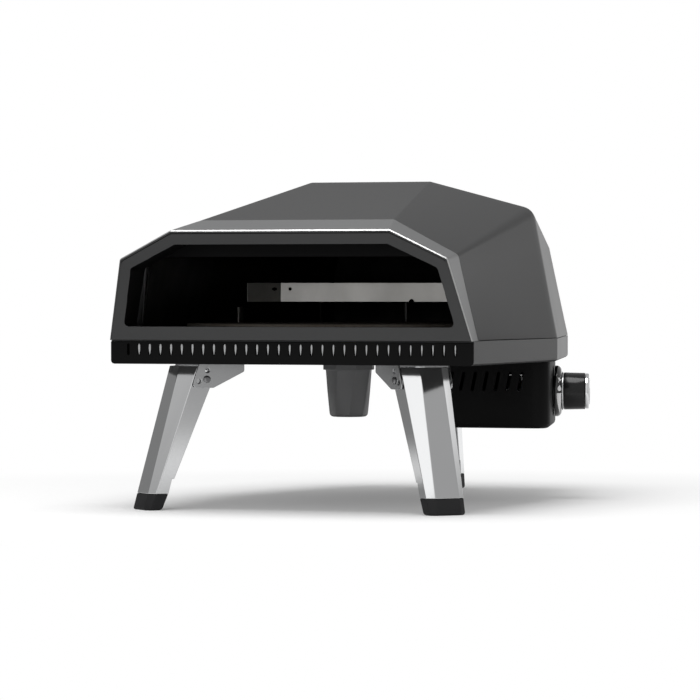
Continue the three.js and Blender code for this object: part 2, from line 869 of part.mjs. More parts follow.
// Bent steel band across the rear of the chamber, with a hole on each side of its two folds
// and a small notch for the view of the pilot flame.
function flameGuard() {
  const [tipX, tipY] = [hoodHalf(guardTipY, guard.top) - guard.tipInset, guardTipY];
  const centreline = [flat(-tipX, tipY), flat(-guardHalf, guardY), flat(guardHalf, guardY), flat(tipX, tipY)];
  const slope = flat(guardHalf, guardY).sub(flat(tipX, tipY)).normalize();
  const side = flat(slope.y, -slope.x).multiplyScalar(guard.sheet);
  const bendX = guardHalf + (side.x + ((guard.sheet - side.y) * slope.x) / slope.y);
  const back = [
    flat(-tipX - side.x, tipY + side.y),
    flat(-bendX, guardY + guard.sheet),
    flat(bendX, guardY + guard.sheet),
    flat(tipX + side.x, tipY + side.y),
  ];
  const outline = [...centreline, ...back.reverse()];
  let band = solid(plate(outline, guard.top - guard.bottom).translate(0, 0, guard.bottom));
  const cut = (radius, sides, x, y, z) => {
    const hole = bore(radius, -overrun, overrun, sides).rotateX(Math.PI / 2).translate(x, y, z);
    band = band.subtract(solid(hole));
  };
  for (const sign of [-1, 1]) {
    const onWing = flat(guardHalf, guardY).addScaledVector(slope, -guard.holeFromFold);
    cut(guard.holeRadius, portSides, sign * (guardHalf - guard.holeFromFold), guardY, guard.holeHeight);
    cut(guard.holeRadius, portSides, sign * onWing.x, onWing.y, guard.holeHeight);
  }
  cut(guard.notchRadius, smallSides, guard.notchX, guardY, guard.bottom);
  return geometryOf(band);
}

function burnerTube() {
  const along = (radius, half) =>
    new THREE.CylinderGeometry(radius, radius, 2 * half, roundSides)
      .rotateZ(Math.PI / 2)
      .translate(0, burnerY, burner.z);
  const reach = burner.radius + overrun;
  let tube = solid(along(burner.radius, burnerHalf))
    .subtract(solid(along(burner.radius - burner.wall, burnerHalf - burner.wall)))
    .subtract(boreAt(pipeTop.x, pipeTop.y, pipe.radius, burner.z - reach, burner.z, smallSides));
  for (let i = 0; i < burner.ports; i++) {
    const x = (i - (burner.ports - 1) / 2) * burner.portPitch;
    tube = tube.subtract(boreAt(x, burnerY, burner.portRadius, burner.z, burner.z + reach, portSides));
  }
  return geometryOf(tube);
}

// Upright plate that holds the burner and the flame guard, with a bent foot.
function burnerBracket(side) {
  const front = guardY + guard.sheet + gap;
  const outer = side * (burnerHalf - burnerMount.inset);
  const rear = burnerY + burnerMount.behindBurner;
  const low = outer - burnerMount.sheet / 2;
  const plateBody = solid(
    sidePlate(rectangle(flat(front, gap), flat(rear, burnerMount.top)), low, low + burnerMount.sheet),
  );
  const footX = side > 0 ? outer : outer - burnerMount.foot;
  const footBody = solid(
    block(place(footX, front, gap), place(footX + burnerMount.foot, rear, gap + burnerMount.sheet)),
  );
  const hole = bore(burner.radius + gap, -overrun, overrun)
    .rotateY(Math.PI / 2)
    .translate(outer, burnerY, burner.z);
  return geometryOf(plateBody.add(footBody).subtract(solid(hole)));
}

function stoneGuideBracket() {
  const half = stoneGuide.width / 2;
  const profile = [
    flat(0, gap),
    flat(-stoneGuide.foot, gap),
    flat(-stoneGuide.foot, gap + stoneGuide.sheet),
    flat(-stoneGuide.sheet, gap + stoneGuide.sheet),
    flat(-stoneGuide.sheet, stoneGuide.top),
    flat(0, stoneGuide.top),
  ].reverse();
  const x = stoneGuide.inset - stone.radius;
  return uprightPlate(profile, -half, half).translate(x, stoneY + depths.guide, 0);
}

function igniterElectrode() {
  return turned(
    [
      [0, gap],
      [igniter.radius, gap],
      [igniter.radius, igniter.top],
      [igniter.pinRadius, igniter.top],
      [igniter.pinRadius, igniter.pinTop],
      [0, igniter.pinTop],
    ],
    smallSides,
  ).translate(igniter.x, guardY + igniter.behindGuard, 0);
}

const controlY = boxFront + controls.behindFront;
const controlX = boxSideX - controls.behindFront * Math.tan(sideAngle);
// Frame of everything that turns about the knob's axis; its own Z points out of the box.
const controlFrame = new THREE.Group();
controlFrame.position.set(controlX, controlY, controls.z);
controlFrame.rotation.set(0, Math.PI / 2, sideAngle, 'ZYX');
oven.add(controlFrame);

function onControlAxis(distance) {
  return place(controlX, controlY, controls.z).addScaledVector(
    place(Math.cos(sideAngle), Math.sin(sideAngle), 0),
    distance,
  );
}

const pipeFoot = onControlAxis((valve.end + valve.chamberRear) / 2);
const pipeTop = place(burnerHalf - 2 * burner.radius, burnerY, burner.z - burner.radius - gap);

function pipeAlong(points, steps) {
  const section = new THREE.Shape(
    Array.from({ length: pipeSides }, (_, i) =>
      flat(pipe.radius, 0).rotateAround(flat(0, 0), (2 * Math.PI * i) / pipeSides),
    ),
  );
  const path = new THREE.CatmullRomCurve3(points, false, 'centripetal');
  return new THREE.ExtrudeGeometry(section, { steps, extrudePath: path, bevelEnabled: false });
}

function gasPipe() {
  const start = pipeFoot.clone().setZ(controls.z + valve.radius + gap);
  const middle = -base.depth / 2;
  return pipeAlong(
    [
      start,
      start.clone().setZ(-base.depth),
      ...pipe.pathShares.map((share) => pipeFoot.clone().lerp(pipeTop, share).setZ(middle)),
      pipeTop.clone().setZ(0),
      pipeTop,
    ],
    pipe.gasSteps,
  );
}

function supplyPipe() {
  const end = onControlAxis(valve.end - gap);
  const start = place(inletX, boxRear - inlet.tail - gap, inlet.z);
  const bend = place(inletX, (start.y + end.y) / 2, inlet.z);
  return pipeAlong([start, bend, onControlAxis(valve.end - inlet.length), end], pipe.supplySteps);
}

// Plan of the control box; its right side runs along the tapered side of the base.
function boxPlan(skin, rearSkin = skin) {
  const corners = [
    flat(boxLeft, boxFront),
    flat(boxSideX, boxFront),
    flat(boxSideX - box.depth * Math.tan(sideAngle), boxRear),
    flat(boxLeft, boxRear),
  ];
  const small = Math.max(box.cornerRadius - skin, gap);
  const large = Math.max(box.edgeRadius - skin, gap);
  return rounded(inset(corners, [skin, skin, rearSkin, skin]), [small, large, 0, 0]);
}

function controlBox() {
  const top = -base.depth - gap;
  const outer = [...bentFloor((skin) => boxPlan(skin, 0), box.bottom, box.bend), level(boxPlan(0, 0), top)];
  const inside = [
    ...bentFloor((skin) => boxPlan(box.wall + skin, -overrun), box.bottom + box.wall, box.bend - box.wall),
    level(boxPlan(box.wall, -overrun), top + overrun),
  ];
  let body = solid(loft(outer)).subtract(solid(loft(inside)));
  for (let i = 0; i < boxSlots.count; i++) {
    const x = boxLeft + boxSlots.fromLeft + i * boxSlots.pitch;
    const outline = [
      flat(x - boxSlots.lean, boxSlots.bottom),
      flat(x - boxSlots.lean + boxSlots.width, boxSlots.bottom),
      flat(x + boxSlots.width, boxSlots.top),
      flat(x, boxSlots.top),
    ];
    const ends = Array(outline.length).fill(boxSlots.endRadius);
    const slot = uprightPlate(rounded(outline, ends, cutSteps), boxFront - overrun, boxFront + overrun);
    body = body.subtract(solid(slot));
  }
  const stemHole = bore(stem.radius + knob.gap, -overrun, overrun)
    .rotateY(Math.PI / 2)
    .rotateZ(sideAngle)
    .translate(controlX, controlY, controls.z);
  return geometryOf(body.subtract(solid(stemHole)));
}

function boxCover() {
  const skin = box.wall + gap;
  const drawn = box.depth * Math.tan(sideAngle);
  const outline = rounded(
    rectangle(
      flat(boxLeft + skin, box.bottom + skin),
      flat(boxSideX - drawn - skin / Math.cos(sideAngle), -base.depth - gap),
    ),
    [box.bend - box.wall, box.bend - box.wall, 0, 0],
  );
  const cover = new THREE.Shape(outline);
  const inletHole = new THREE.Path();
  inletHole.absarc(inletX, inlet.z, inlet.holeRadius, 0, Math.PI * 2, true);
  const halfWidth = rocker.width / 2 + rocker.rise;
  const halfHeight = rocker.height / 2 + rocker.rise;
  const switchHole = rectangle(
    flat(rockerX - halfWidth, rocker.z - halfHeight),
    flat(rockerX + halfWidth, rocker.z + halfHeight),
  );
  cover.holes.push(inletHole, new THREE.Path(switchHole.reverse()));
  return new THREE.ExtrudeGeometry(cover, { depth: box.wall, bevelEnabled: false, curveSegments: smallSides })
    .rotateX(Math.PI / 2)
    .translate(0, boxRear, 0);
}

// Socket of the motor switch, a shallow frame open to the rear.
function switchSocket() {
  const halfWidth = rocker.width / 2 + gap;
  const halfHeight = rocker.height / 2 + gap;
  const wall = rocker.rise - 2 * gap;
  const front = boxRear - rocker.body;
  const outer = block(
    place(rockerX - halfWidth - wall, front, rocker.z - halfHeight - wall),
    place(rockerX + halfWidth + wall, boxRear, rocker.z + halfHeight + wall),
  );
  const hollow = block(
    place(rockerX - halfWidth, front + wall, rocker.z - halfHeight),
    place(rockerX + halfWidth, boxRear + overrun, rocker.z + halfHeight),
  );
  return geometryOf(solid(outer).subtract(solid(hollow)));
}

// Rocker with two faces that meet in a shallow valley over its pivot.
function switchRocker() {
  const half = rocker.height / 2 - rocker.rise / 2;
  const inside = boxRear - rocker.depth;
  const profile = [
    flat(inside, -half * rocker.footShare),
    flat(boxRear, -half),
    flat(boxRear + rocker.rise / 2, -half),
    flat(boxRear, 0),
    flat(boxRear + rocker.rise, half),
    flat(boxRear, half),
    flat(inside, half * rocker.footShare),
  ];
  return sidePlate(profile, rockerX - rocker.width / 2, rockerX + rocker.width / 2).translate(0, 0, rocker.z);
}

function gasInlet() {
  const nutStart = inlet.tail + gap;
  const threaded = turned(
    [
      [inlet.bore, 0],
      [inlet.radius, 0],
      [inlet.radius, inlet.tail + inlet.length],
      [inlet.bore, inlet.tail + inlet.length],
    ],
    roundSides,
  );
  const nut = new THREE.CylinderGeometry(inlet.nutRadius, inlet.nutRadius, inlet.nut, nutSides)
    .rotateX(Math.PI / 2)
    .translate(0, 0, nutStart + inlet.nut / 2);
  const through = solid(bore(inlet.bore, -overrun, inlet.length + 2 * overrun));
  return geometryOf(solid(threaded).add(solid(nut)).subtract(through))
    .rotateX(-Math.PI / 2)
    .translate(inletX, boxRear - inlet.tail, inlet.z);
}

function igniterModule() {
  const half = flat(module.width / 2, module.length / 2);
  const floor = box.bottom + box.wall + gap;
  const outline = (skin) => level(
    rounded(inset(rectangle(half.clone().negate(), half), skin), Array(4).fill(module.bevel), smallSteps),
    0,
  );
  const raised = (skin, z) => outline(skin).map((point) => point.setZ(z));
  return loft([
    raised(0, floor),
    raised(0, floor + module.height - module.bevel),
    raised(module.bevel, floor + module.height),
  ]).translate(boxLeft + module.fromLeft, boxFront + module.behindFront, 0);
}

const bezelFace = bezel.standOff + bezel.face;
const knobFoot = bezelFace + knob.gap;
const knobEnd = knobFoot + knob.skirt;

function bezelDisc() {
  const recess = bezelFace - bezel.recessDepth;
  const recessRadius = knob.radius + knob.gap;
  return turned(
    [
      [bezel.boreRadius, gap],
      [bezel.bossRadius, gap],
      [bezel.bossRadius, bezel.standOff],
      [bezel.radius - bezel.standOff, bezel.standOff],
      [bezel.radius, 2 * bezel.standOff],
      [bezel.radius, bezel.rim],
      [bezel.radius - bezel.standOff, bezelFace - bezel.standOff / 2],
      [recessRadius + bezel.standOff, bezelFace],
      [recessRadius, bezelFace],
      [recessRadius, recess],
      [bezel.boreRadius, recess],
    ],
    fineSides,
  );
}

function controlKnob() {
  const inner = (stem.radius + gap / 2) / Math.cos(Math.PI / roundSides);
  const crown = knobEnd - knob.crown;
  return turned(
    [
      [0, knobEnd],
      [knob.endRadius - gap, knobEnd],
      [knob.endRadius, knobEnd - gap],
      [knob.radius, knobFoot],
      [knob.radius - knob.wall, knobFoot],
      [knob.radius - knob.wall, crown],
      [knob.hubRadius, crown],
      [knob.hubRadius, knobFoot],
      [inner, knobFoot],
      [inner, stem.insideKnob + gap],
      [0, stem.insideKnob + gap],
    ],
    fineSides,
  );
}

function knobCap() {
  const foot = knobEnd + gap;
  const [innerShare, crownShare] = knob.capShares;
  return turned(
    [
      [0, foot],
      [knob.capRadius, foot],
      [knob.capRadius, foot + knob.capEdge],
      [knob.capRadius - knob.gap, foot + (knob.capEdge + knob.cap) / 2],
      [knob.capRadius * innerShare, foot + knob.cap - knob.gap / 2],
      [knob.capRadius * crownShare, foot + knob.cap],
      [0, foot + knob.cap],
    ],
    fineSides,
  );
}

function valveStem() {
  return turned(
    [
      [0, stem.end],
      [stem.neckRadius, stem.end],
      [stem.neckRadius, stem.shoulder],
      [stem.radius, stem.shoulder],
      [stem.radius, stem.insideKnob],
      [0, stem.insideKnob],
    ],
    roundSides,
  );
}

function valvePlunger() {
  const inner = (stem.neckRadius + runningClearance) / Math.cos(Math.PI / roundSides);
  const top = stem.shoulder - gap;
  return turned(
    [
      [inner, top - plunger.sheet],
      [plunger.radius, top - plunger.sheet],
      [plunger.radius, top],
      [inner, top],
    ],
    roundSides,
  );
}

function gasValve() {
  const inner = (stem.radius + runningClearance) / Math.cos(Math.PI / roundSides);
  const front = -box.wall - gap;
  return turned(
    [
      [0, valve.end],
      [valve.radius, valve.end],
      [valve.radius, front],
      [inner, front],
      [inner, valve.chamberFront],
      [valve.chamberRadius, valve.chamberFront],
      [valve.chamberRadius, valve.chamberRear],
      [0, valve.chamberRear],
    ],
    roundSides,
  );
}

// Outline of a leg seen from above at one height, in its own frame: X points out of the oven.
function legSection(z, skin, backReach) {
  const rise = z - leg.footZ;
  const web = -leg.splay * rise;
  const webHalf = leg.webHalf + leg.webGrowth * rise;
  const half = leg.half + leg.halfGrowth * rise;
  const bevel = leg.bevel + leg.bevelGrowth * rise;
  const flange = leg.flange + leg.flangeGrowth * rise;
  const corners = [
    flat(web - flange, -half),
    flat(web - bevel, -half),
    flat(web, -webHalf),
    flat(web, webHalf),
    flat(web - bevel, half),
    flat(web - flange, half),
  ];
  const drawnIn = inset(corners, [skin, skin, skin, skin, skin, -backReach]);
  return drawnIn.map((point) => place(point.x, point.y, z));
}

// Shape that a leg's side view is cut to: level top, and a round head about the pivot.
function legSideView() {
  const head = Array.from({ length: 2 * arcSteps + 1 }, (_, step) => {
    const angle = (Math.PI / 2) * (1 + step / (2 * arcSteps));
    return flat(
      leg.pivotR + leg.headRadius * Math.cos(angle),
      leg.pivotZ + leg.headRadius * Math.sin(angle),
    );
  });
  const freeEdge = (z) => legSection(z, 0, 0)[0].x;
  const outline = [
    flat(overrun, leg.topZ),
    ...head,
    flat(leg.pivotR - leg.headRadius, leg.notchZ),
    flat(freeEdge(leg.notchZ) + leg.notch, leg.notchZ),
    flat(freeEdge(leg.footZ) + leg.notch, leg.footZ - overrun),
    flat(overrun, leg.footZ - overrun),
  ];
  return solid(uprightPlate(outline.reverse(), -leg.half * 2, leg.half * 2));
}

function acrossLeg(radius, r, z, low, high) {
  return solid(bore(radius, low, high, smallSides).rotateX(Math.PI / 2).translate(r, 0, z));
}

function lockPlace(angle) {
  const turn = THREE.MathUtils.degToRad(angle);
  return flat(leg.pivotR + lock.circle * Math.cos(turn), leg.pivotZ + lock.circle * Math.sin(turn));
}

function legChannel(buttonSide) {
  const levels = [leg.footZ, leg.footZ + foot.tongue, leg.bracketZ, leg.topZ + overrun];
  const outer = solid(loft(levels.map((z) => legSection(z, 0, 0))));
  const openLevels = [leg.footZ - overrun, ...levels, leg.topZ + 2 * overrun];
  const inner = solid(loft(openLevels.map((z) => legSection(z, leg.sheet, overrun))));
  const button = lockPlace(lock.angle);
  const reach = -buttonSide * 2 * leg.half;
  const buttonHole = acrossLeg(
    lock.radius + runningClearance,
    button.x,
    button.y,
    Math.min(reach, 0),
    Math.max(reach, 0),
  );
  return geometryOf(
    outer
      .subtract(inner)
      .intersect(legSideView())
      .subtract(acrossLeg(pin.radius + runningClearance, leg.pivotR, leg.pivotZ, -2 * leg.half, 2 * leg.half))
      .subtract(buttonHole),
  );
}

function legFoot() {
  const shoulder = leg.footZ - gap;
  const bend = Array.from({ length: arcSteps + 1 }, (_, step) => {
    const angle = (Math.PI / 2) * (step / arcSteps);
    const drawnIn = foot.bend * (1 - Math.sin(angle));
    return legSection(leg.groundZ + foot.bend * (1 - Math.cos(angle)), drawnIn, -drawnIn);
  });
  const shoe = solid(loft([...bend, legSection(shoulder, 0, 0)]));
  const skin = leg.sheet + gap;
  const low = shoulder - foot.bend;
  const high = leg.footZ + foot.tongue;
  const tongue = solid(loft([legSection(low, skin, -leg.notch), legSection(high, skin, -leg.notch)]));
  return geometryOf(shoe.add(tongue));
}

function legBracket() {
  const top = -gap;
  const cheekOutline = (high) =>
    rounded(
      [
        flat(bracket.outerTop, high),
        flat(bracket.outerBottom, bracket.bottom),
        flat(bracket.slant, bracket.bottom),
        flat(bracket.inner, bracket.innerBottom),
        flat(bracket.inner, high),
      ],
      bracket.radii,
    ).reverse();
  const outer = bracket.side + bracket.sheet;
  const cheeks = [-outer, bracket.side].map((near) =>
    solid(uprightPlate(cheekOutline(top), near, near + bracket.sheet)),
  );
  const bridge = solid(
    block(place(bracket.inner, -outer, top - bracket.sheet), place(bracket.outerTop, outer, top)),
  );
  let body = bridge.add(cheeks[0]).add(cheeks[1]);
  const reach = outer + overrun;
  body = body.subtract(acrossLeg(pin.radius + gap, leg.pivotR, leg.pivotZ, -reach, reach));
  for (const angle of [lock.angle, lock.foldedAngle]) {
    const hole = lockPlace(angle);
    body = body.subtract(acrossLeg(lock.radius, hole.x, hole.y, -reach, reach));
  }
  return geometryOf(body);
}

function pivotPin() {
  const end = bracket.side + bracket.sheet + gap;
  const halfHead = pin.head / 2;
  return turned(
    [
      [0, -end - pin.head],
      [pin.crownRadius, -end - pin.head],
      [pin.headRadius, -end - halfHead],
      [pin.headRadius, -end],
      [pin.radius, -end],
      [pin.radius, end],
      [pin.headRadius, end],
      [pin.headRadius, end + halfHead],
      [pin.crownRadius, end + pin.head],
      [0, end + pin.head],
    ],
    smallSides,
  )
    .rotateX(Math.PI / 2)
    .translate(leg.pivotR, 0, leg.pivotZ);
}

// Round button that stands in the leg's hole, with a collar behind the sheet.
function lockButton(buttonSide) {
  const at = lockPlace(lock.angle);
  const tip = bracket.side - gap;
  const inside = leg.half + leg.halfGrowth * (leg.topZ - lock.circle - leg.footZ) - leg.sheet - gap;
  const collarFoot = inside - lock.collar;
  return turned(
    [
      [0, tip - lock.length],
      [lock.collarRadius - lock.collar, tip - lock.length],
      [lock.collarRadius - lock.collar, collarFoot],
      [lock.collarRadius, collarFoot],
      [lock.collarRadius, inside - gap],
      [lock.radius, inside - gap],
      [lock.radius, tip - lock.crown],
      [lock.crownRadius, tip - lock.crownEdge],
      [0, tip],
    ],
    smallSides,
  )
    .rotateX((-buttonSide * Math.PI) / 2)
    .translate(at.x, 0, at.y);
}

addPiece('hood_shell', hoodShell(), painted);
addPiece('visor_band', visorBand(), { ...painted, color: 0x85878a });
addPiece('front_fascia', frontFascia(), { ...painted, color: 0x454749 });
addPiece('mouth_lintel', mouthLintel(), darkPaint);
addPiece('insulation_blanket', insulation(), wool);
addPiece('inner_liner', innerLiner(), aluminium);
addPiece('base_tray', baseTray(), painted);
addPiece('deck_plate', deckPlate(), painted);
addPiece('vent_panel', ventPanel(), darkPaint);
addPiece('vent_baffle', ventBaffle(), steel);

addPiece('pizza_stone', pizzaStone(), stoneware);
addPiece('stone_carrier', stoneCarrier(), steel);
addPiece('drive_shaft', driveShaft(), steel);
addPiece('shaft_bushing', shaftBushing(), brass);
addPiece('gear_motor', gearMotor(), steel);
addPiece('motor_housing', motorHousing(), painted);

addPiece('flame_guard', flameGuard(), steel);
addPiece('burner_tube', burnerTube(), steel);
addPiece('burner_bracket_left', burnerBracket(-1), steel);
addPiece('burner_bracket_right', burnerBracket(1), steel);
addPiece('stone_guide', stoneGuideBracket(), steel);
addPiece('igniter_electrode', igniterElectrode(), ceramic);

addPiece('control_box', controlBox(), darkPaint);
addPiece('box_cover', boxCover(), darkPaint);
addPiece('switch_socket', switchSocket(), plastic);
addPiece('motor_switch', switchRocker(), plastic);
addPiece('gas_inlet', gasInlet(), brass);
addPiece('gas_pipe', gasPipe(), aluminium);
addPiece('supply_pipe', supplyPipe(), aluminium);
addPiece('igniter_module', igniterModule(), plastic);
addPiece('gas_valve', gasValve(), brass, controlFrame);
addPiece('valve_plunger', valvePlunger(), brass, controlFrame);
addPiece('valve_stem', valveStem(), steel, controlFrame);
addPiece('bezel', bezelDisc(), plastic, controlFrame);
addPiece('knob', controlKnob(), plastic, controlFrame);
addPiece('knob_cap', knobCap(), chrome, controlFrame);

for (const { name, x, y, turn, buttonSide } of legPlaces) {
  const stand = new THREE.Group();
  stand.position.set(x, y, -base.depth);
  stand.rotation.z = THREE.MathUtils.degToRad(turn);
  oven.add(stand);
  addPiece(`leg_bracket_${name}`, legBracket(), steel, stand);
  addPiece(`leg_${name}`, legChannel(buttonSide), aluminium, stand);
  addPiece(`leg_foot_${name}`, legFoot(), rubber, stand);
  addPiece(`leg_pivot_pin_${name}`, pivotPin(), steel, stand);
  addPiece(`leg_lock_button_${name}`, lockButton(buttonSide), chrome, stand);
}

const extent = new THREE.Box3().setFromObject(oven, true);
const middle = extent.getCenter(place(0, 0, 0));
oven.position.set(-middle.x, -middle.y, -extent.min.z);

export default oven;
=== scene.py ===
import json
import math

import bmesh
import bpy
from mathutils import Euler, Matrix, Vector


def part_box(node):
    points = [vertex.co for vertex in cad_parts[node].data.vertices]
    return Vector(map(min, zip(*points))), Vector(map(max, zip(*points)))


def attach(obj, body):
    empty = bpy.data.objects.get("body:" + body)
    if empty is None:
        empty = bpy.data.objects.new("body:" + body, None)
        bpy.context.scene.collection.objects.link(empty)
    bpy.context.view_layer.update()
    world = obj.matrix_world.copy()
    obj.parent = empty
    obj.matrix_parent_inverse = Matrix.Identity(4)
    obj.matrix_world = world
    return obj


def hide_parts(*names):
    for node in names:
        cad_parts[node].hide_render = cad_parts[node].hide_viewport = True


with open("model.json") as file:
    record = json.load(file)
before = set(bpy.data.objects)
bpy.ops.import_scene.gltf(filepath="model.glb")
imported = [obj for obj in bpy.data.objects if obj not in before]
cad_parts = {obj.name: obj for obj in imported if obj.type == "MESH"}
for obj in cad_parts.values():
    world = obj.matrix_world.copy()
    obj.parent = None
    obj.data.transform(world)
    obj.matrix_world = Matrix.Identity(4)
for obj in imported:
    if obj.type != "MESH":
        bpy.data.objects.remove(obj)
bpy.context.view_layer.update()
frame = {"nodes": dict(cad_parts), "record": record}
scene = bpy.context.scene
nodes = frame["nodes"]
bodyOf = {
    node: body
    for body, members in frame["record"]["behaviour"]["bodies"].items()
    for node in members
}
print("frame loaded:", len(nodes), "nodes")

perMetre = 1000  # the shapes below are given in the part's own millimetres
stone = {"middle": 230.0, "top": 19.2}  # its place in them, which fixes where they begin
lowStone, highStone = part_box("pizza_stone")
origin = Vector(((lowStone.x + highStone.x) / 2, (lowStone.y + highStone.y) / 2, highStone.z))
origin -= Vector((0, stone["middle"], stone["top"])) / perMetre


def put(x, y, z):  # a point in those millimetres, brought into the shared frame
    return origin + Vector((x, y, z)) / perMetre


view = {
    "place": (1585.49, -4520.43, 63.64),
    "tilt": 89.1063,
    "turn": 18.4396,
    "lens": 205.61,
    "sensor": 36,
    "reach": 60,
}


def makeCamera():
    camera = bpy.data.objects.new("camera", bpy.data.cameras.new("camera"))
    camera.location = put(*view["place"])
    camera.rotation_euler = Euler((math.radians(view["tilt"]), 0, math.radians(view["turn"])))
    camera.data.lens = view["lens"]
    camera.data.sensor_width = view["sensor"]
    camera.data.clip_end = view["reach"]
    scene.collection.objects.link(camera)
    scene.camera = camera


makeCamera()


class Signal:  # one socket of a shader tree, with arithmetic
    def __init__(self, tree, socket=None):
        self.tree = tree
        self.socket = socket

    def make(self, kind, settings, values, output=0):
        node = self.tree.nodes.new(kind)
        for name, value in settings.items():
            setattr(node, name, value)
        for name, value in values.items():
            if isinstance(value, Signal):
                self.tree.links.new(value.socket, node.inputs[name])
            else:
                node.inputs[name].default_value = value
        return Signal(self.tree, node.outputs[output])

    def maths(self, operation, first, second):
        return self.make("ShaderNodeMath", {"operation": operation}, {0: first, 1: second})

    def __add__(self, other):
        return self.maths("ADD", self, other)

    def __radd__(self, other):
        return self.maths("ADD", other, self)

    def __sub__(self, other):
        return self.maths("SUBTRACT", self, other)

    def __rsub__(self, other):
        return self.maths("SUBTRACT", other, self)

    def __mul__(self, other):
        return self.maths("MULTIPLY", self, other)

    def __rmul__(self, other):
        return self.maths("MULTIPLY", other, self)

    def __truediv__(self, other):
        return self.maths("DIVIDE", self, other)

    def __rtruediv__(self, other):
        return self.maths("DIVIDE", other, self)


def ramp(field, low, high):  # 0 below low, 1 above high
    settings = {"interpolation_type": "SMOOTHSTEP"}
    return field.make("ShaderNodeMapRange", settings, {0: field, 1: low, 2: high})


def noise(at, scale, detail=2.0, roughness=0.5):
    values = {"Vector": at, "Scale": scale, "Detail": detail, "Roughness": roughness}
    return at.make("ShaderNodeTexNoise", {"noise_dimensions": "3D"}, values, "Fac")


def opaque(colour):  # a plain colour gets its alpha, a socket stays as it is
    return (*colour, 1.0) if isinstance(colour, tuple) else colour


def tinted(share, first, second, blend="MIX"):  # 6, 7 and 2 are the node's sockets for colours
    settings = {"data_type": "RGBA", "blend_type": blend}
    values = {0: share, 6: opaque(first), 7: opaque(second)}
    return share.make("ShaderNodeMix", settings, values, 2)


def stretched(at, scale):
    return at.make("ShaderNodeVectorMath", {"operation": "MULTIPLY"}, {0: at, 1: scale})


def parts(vector):  # its x, y and z
    return [vector.make("ShaderNodeSeparateXYZ", {}, {0: vector}, axis) for axis in range(3)]


def makeMaterial(name, look):
    material = bpy.data.materials.new(name)
    material.use_nodes = True
    tree = material.node_tree
    shader = tree.nodes["Principled BSDF"]
    for socket, value in look["constants"].items():
        shader.inputs[socket].default_value = value
    at = Signal(tree).make("ShaderNodeTexCoord", {}, {}, "Object")
    for socket, field in look["fields"](at).items():
        tree.links.new(field.socket, shader.inputs[socket])
    return material


def bumped(height, strength, distance):
    values = {"Height": height, "Strength": strength, "Distance": distance}
    return height.make("ShaderNodeBump", {}, values, "Normal")


coat = {
    "clouds": 9.0, "cloudShare": 0.55, "cloudGloss": 0.5, "grainShare": 0.3, "bump": 0.35,
    "specks": 2.2, "speckSpan": (0.62, 0.74), "speckShare": 0.35, "speckRise": 0.3,
}


def coated(dark, light, roughness, spread, grain, depth):  # powder coat or moulded plastic
    def fields(at):
        fine = noise(at, grain, 2.0)
        cloud = noise(at, coat["clouds"], 3.0)
        specks = ramp(noise(at, grain * coat["specks"], 1.0), *coat["speckSpan"])
        tone = cloud * coat["cloudShare"] + fine * coat["grainShare"] + specks * coat["speckShare"]
        return {
            "Base Color": tinted(tone, dark, light),
            "Roughness": fine * spread + (roughness + cloud * spread * coat["cloudGloss"]),
            "Normal": bumped(fine + specks * coat["speckRise"], coat["bump"], depth),
        }
    return fields


# a painted highlight along the visor's turned front edge: where it lies, how noise breaks it up, how
# metallic it is
edgeHighlight = {
    "breakup": 180.0, "breakupSpan": (0.25, 0.5), "breakupShare": 0.35,
    "edgeSpan": (0.45, 0.7), "highlightMetal": 0.6, "paintMetal": 0.35,
}


def edgeHighlighted(paint, bright):  # painted highlight: a bright metallic colour mixed into the paint along the turned front edge, broken up by noise
    def fields(at):
        made = paint(at)
        edge = at.make("ShaderNodeAttribute", {"attribute_name": "edge"}, {}, "Fac")
        breakup = ramp(noise(at, edgeHighlight["breakup"], 3.0), *edgeHighlight["breakupSpan"])
        highlight = ramp(edge, *edgeHighlight["edgeSpan"]) * (breakup * edgeHighlight["breakupShare"] + (1 - edgeHighlight["breakupShare"]))
        made["Base Color"] = tinted(highlight, made["Base Color"], bright)
        made["Metallic"] = highlight * edgeHighlight["highlightMetal"] + edgeHighlight["paintMetal"]
        return made
    return fields


rolled = {
    "along": 90.0, "across": 2600.0, "lineShare": 0.6, "bump": 0.25,
    "clouds": 14.0, "cloudShare": 0.4, "cloudGloss": 0.5,
}


def drawn(dark, light, roughness, along, depth=0.00004, spread=0.14):  # sheet with lines along one axis
    def fields(at):
        scale = tuple(rolled["along"] if axis == along else rolled["across"] for axis in range(3))
        lines = noise(stretched(at, scale), 1.0, 3.0, 0.65)
        cloud = noise(at, rolled["clouds"], 3.0)
        tone = lines * rolled["lineShare"] + cloud * rolled["cloudShare"]
        return {
            "Base Color": tinted(tone, dark, light),
            "Roughness": lines * spread + (roughness + cloud * spread * rolled["cloudGloss"]),
            "Normal": bumped(lines, rolled["bump"], depth),
        }
    return fields


heat = {
    "clouds": 16.0, "cloudSpan": (0.3, 0.75), "streaks": (30.0, 30.0, 5.0), "streakGloss": 0.16,
    "grain": 700.0, "grainDepth": 0.000006,
}


def heated(dark, light, roughness, bow=0.0):  # steel near the flame, a little sooty and bowed
    def fields(at):
        x = at.make("ShaderNodeSeparateXYZ", {}, {0: at}, 0)
        cloud = ramp(noise(at, heat["clouds"], 4.0, 0.6), *heat["cloudSpan"])
        streak = noise(stretched(at, heat["streaks"]), 1.0, 3.0)
        height = noise(at, heat["grain"], 2.0) * heat["grainDepth"] + x * x * bow
        return {
            "Base Color": tinted(cloud, dark, light),
            "Roughness": streak * heat["streakGloss"] + roughness,
            "Normal": bumped(height, 1.0, 1.0),
        }
    return fields


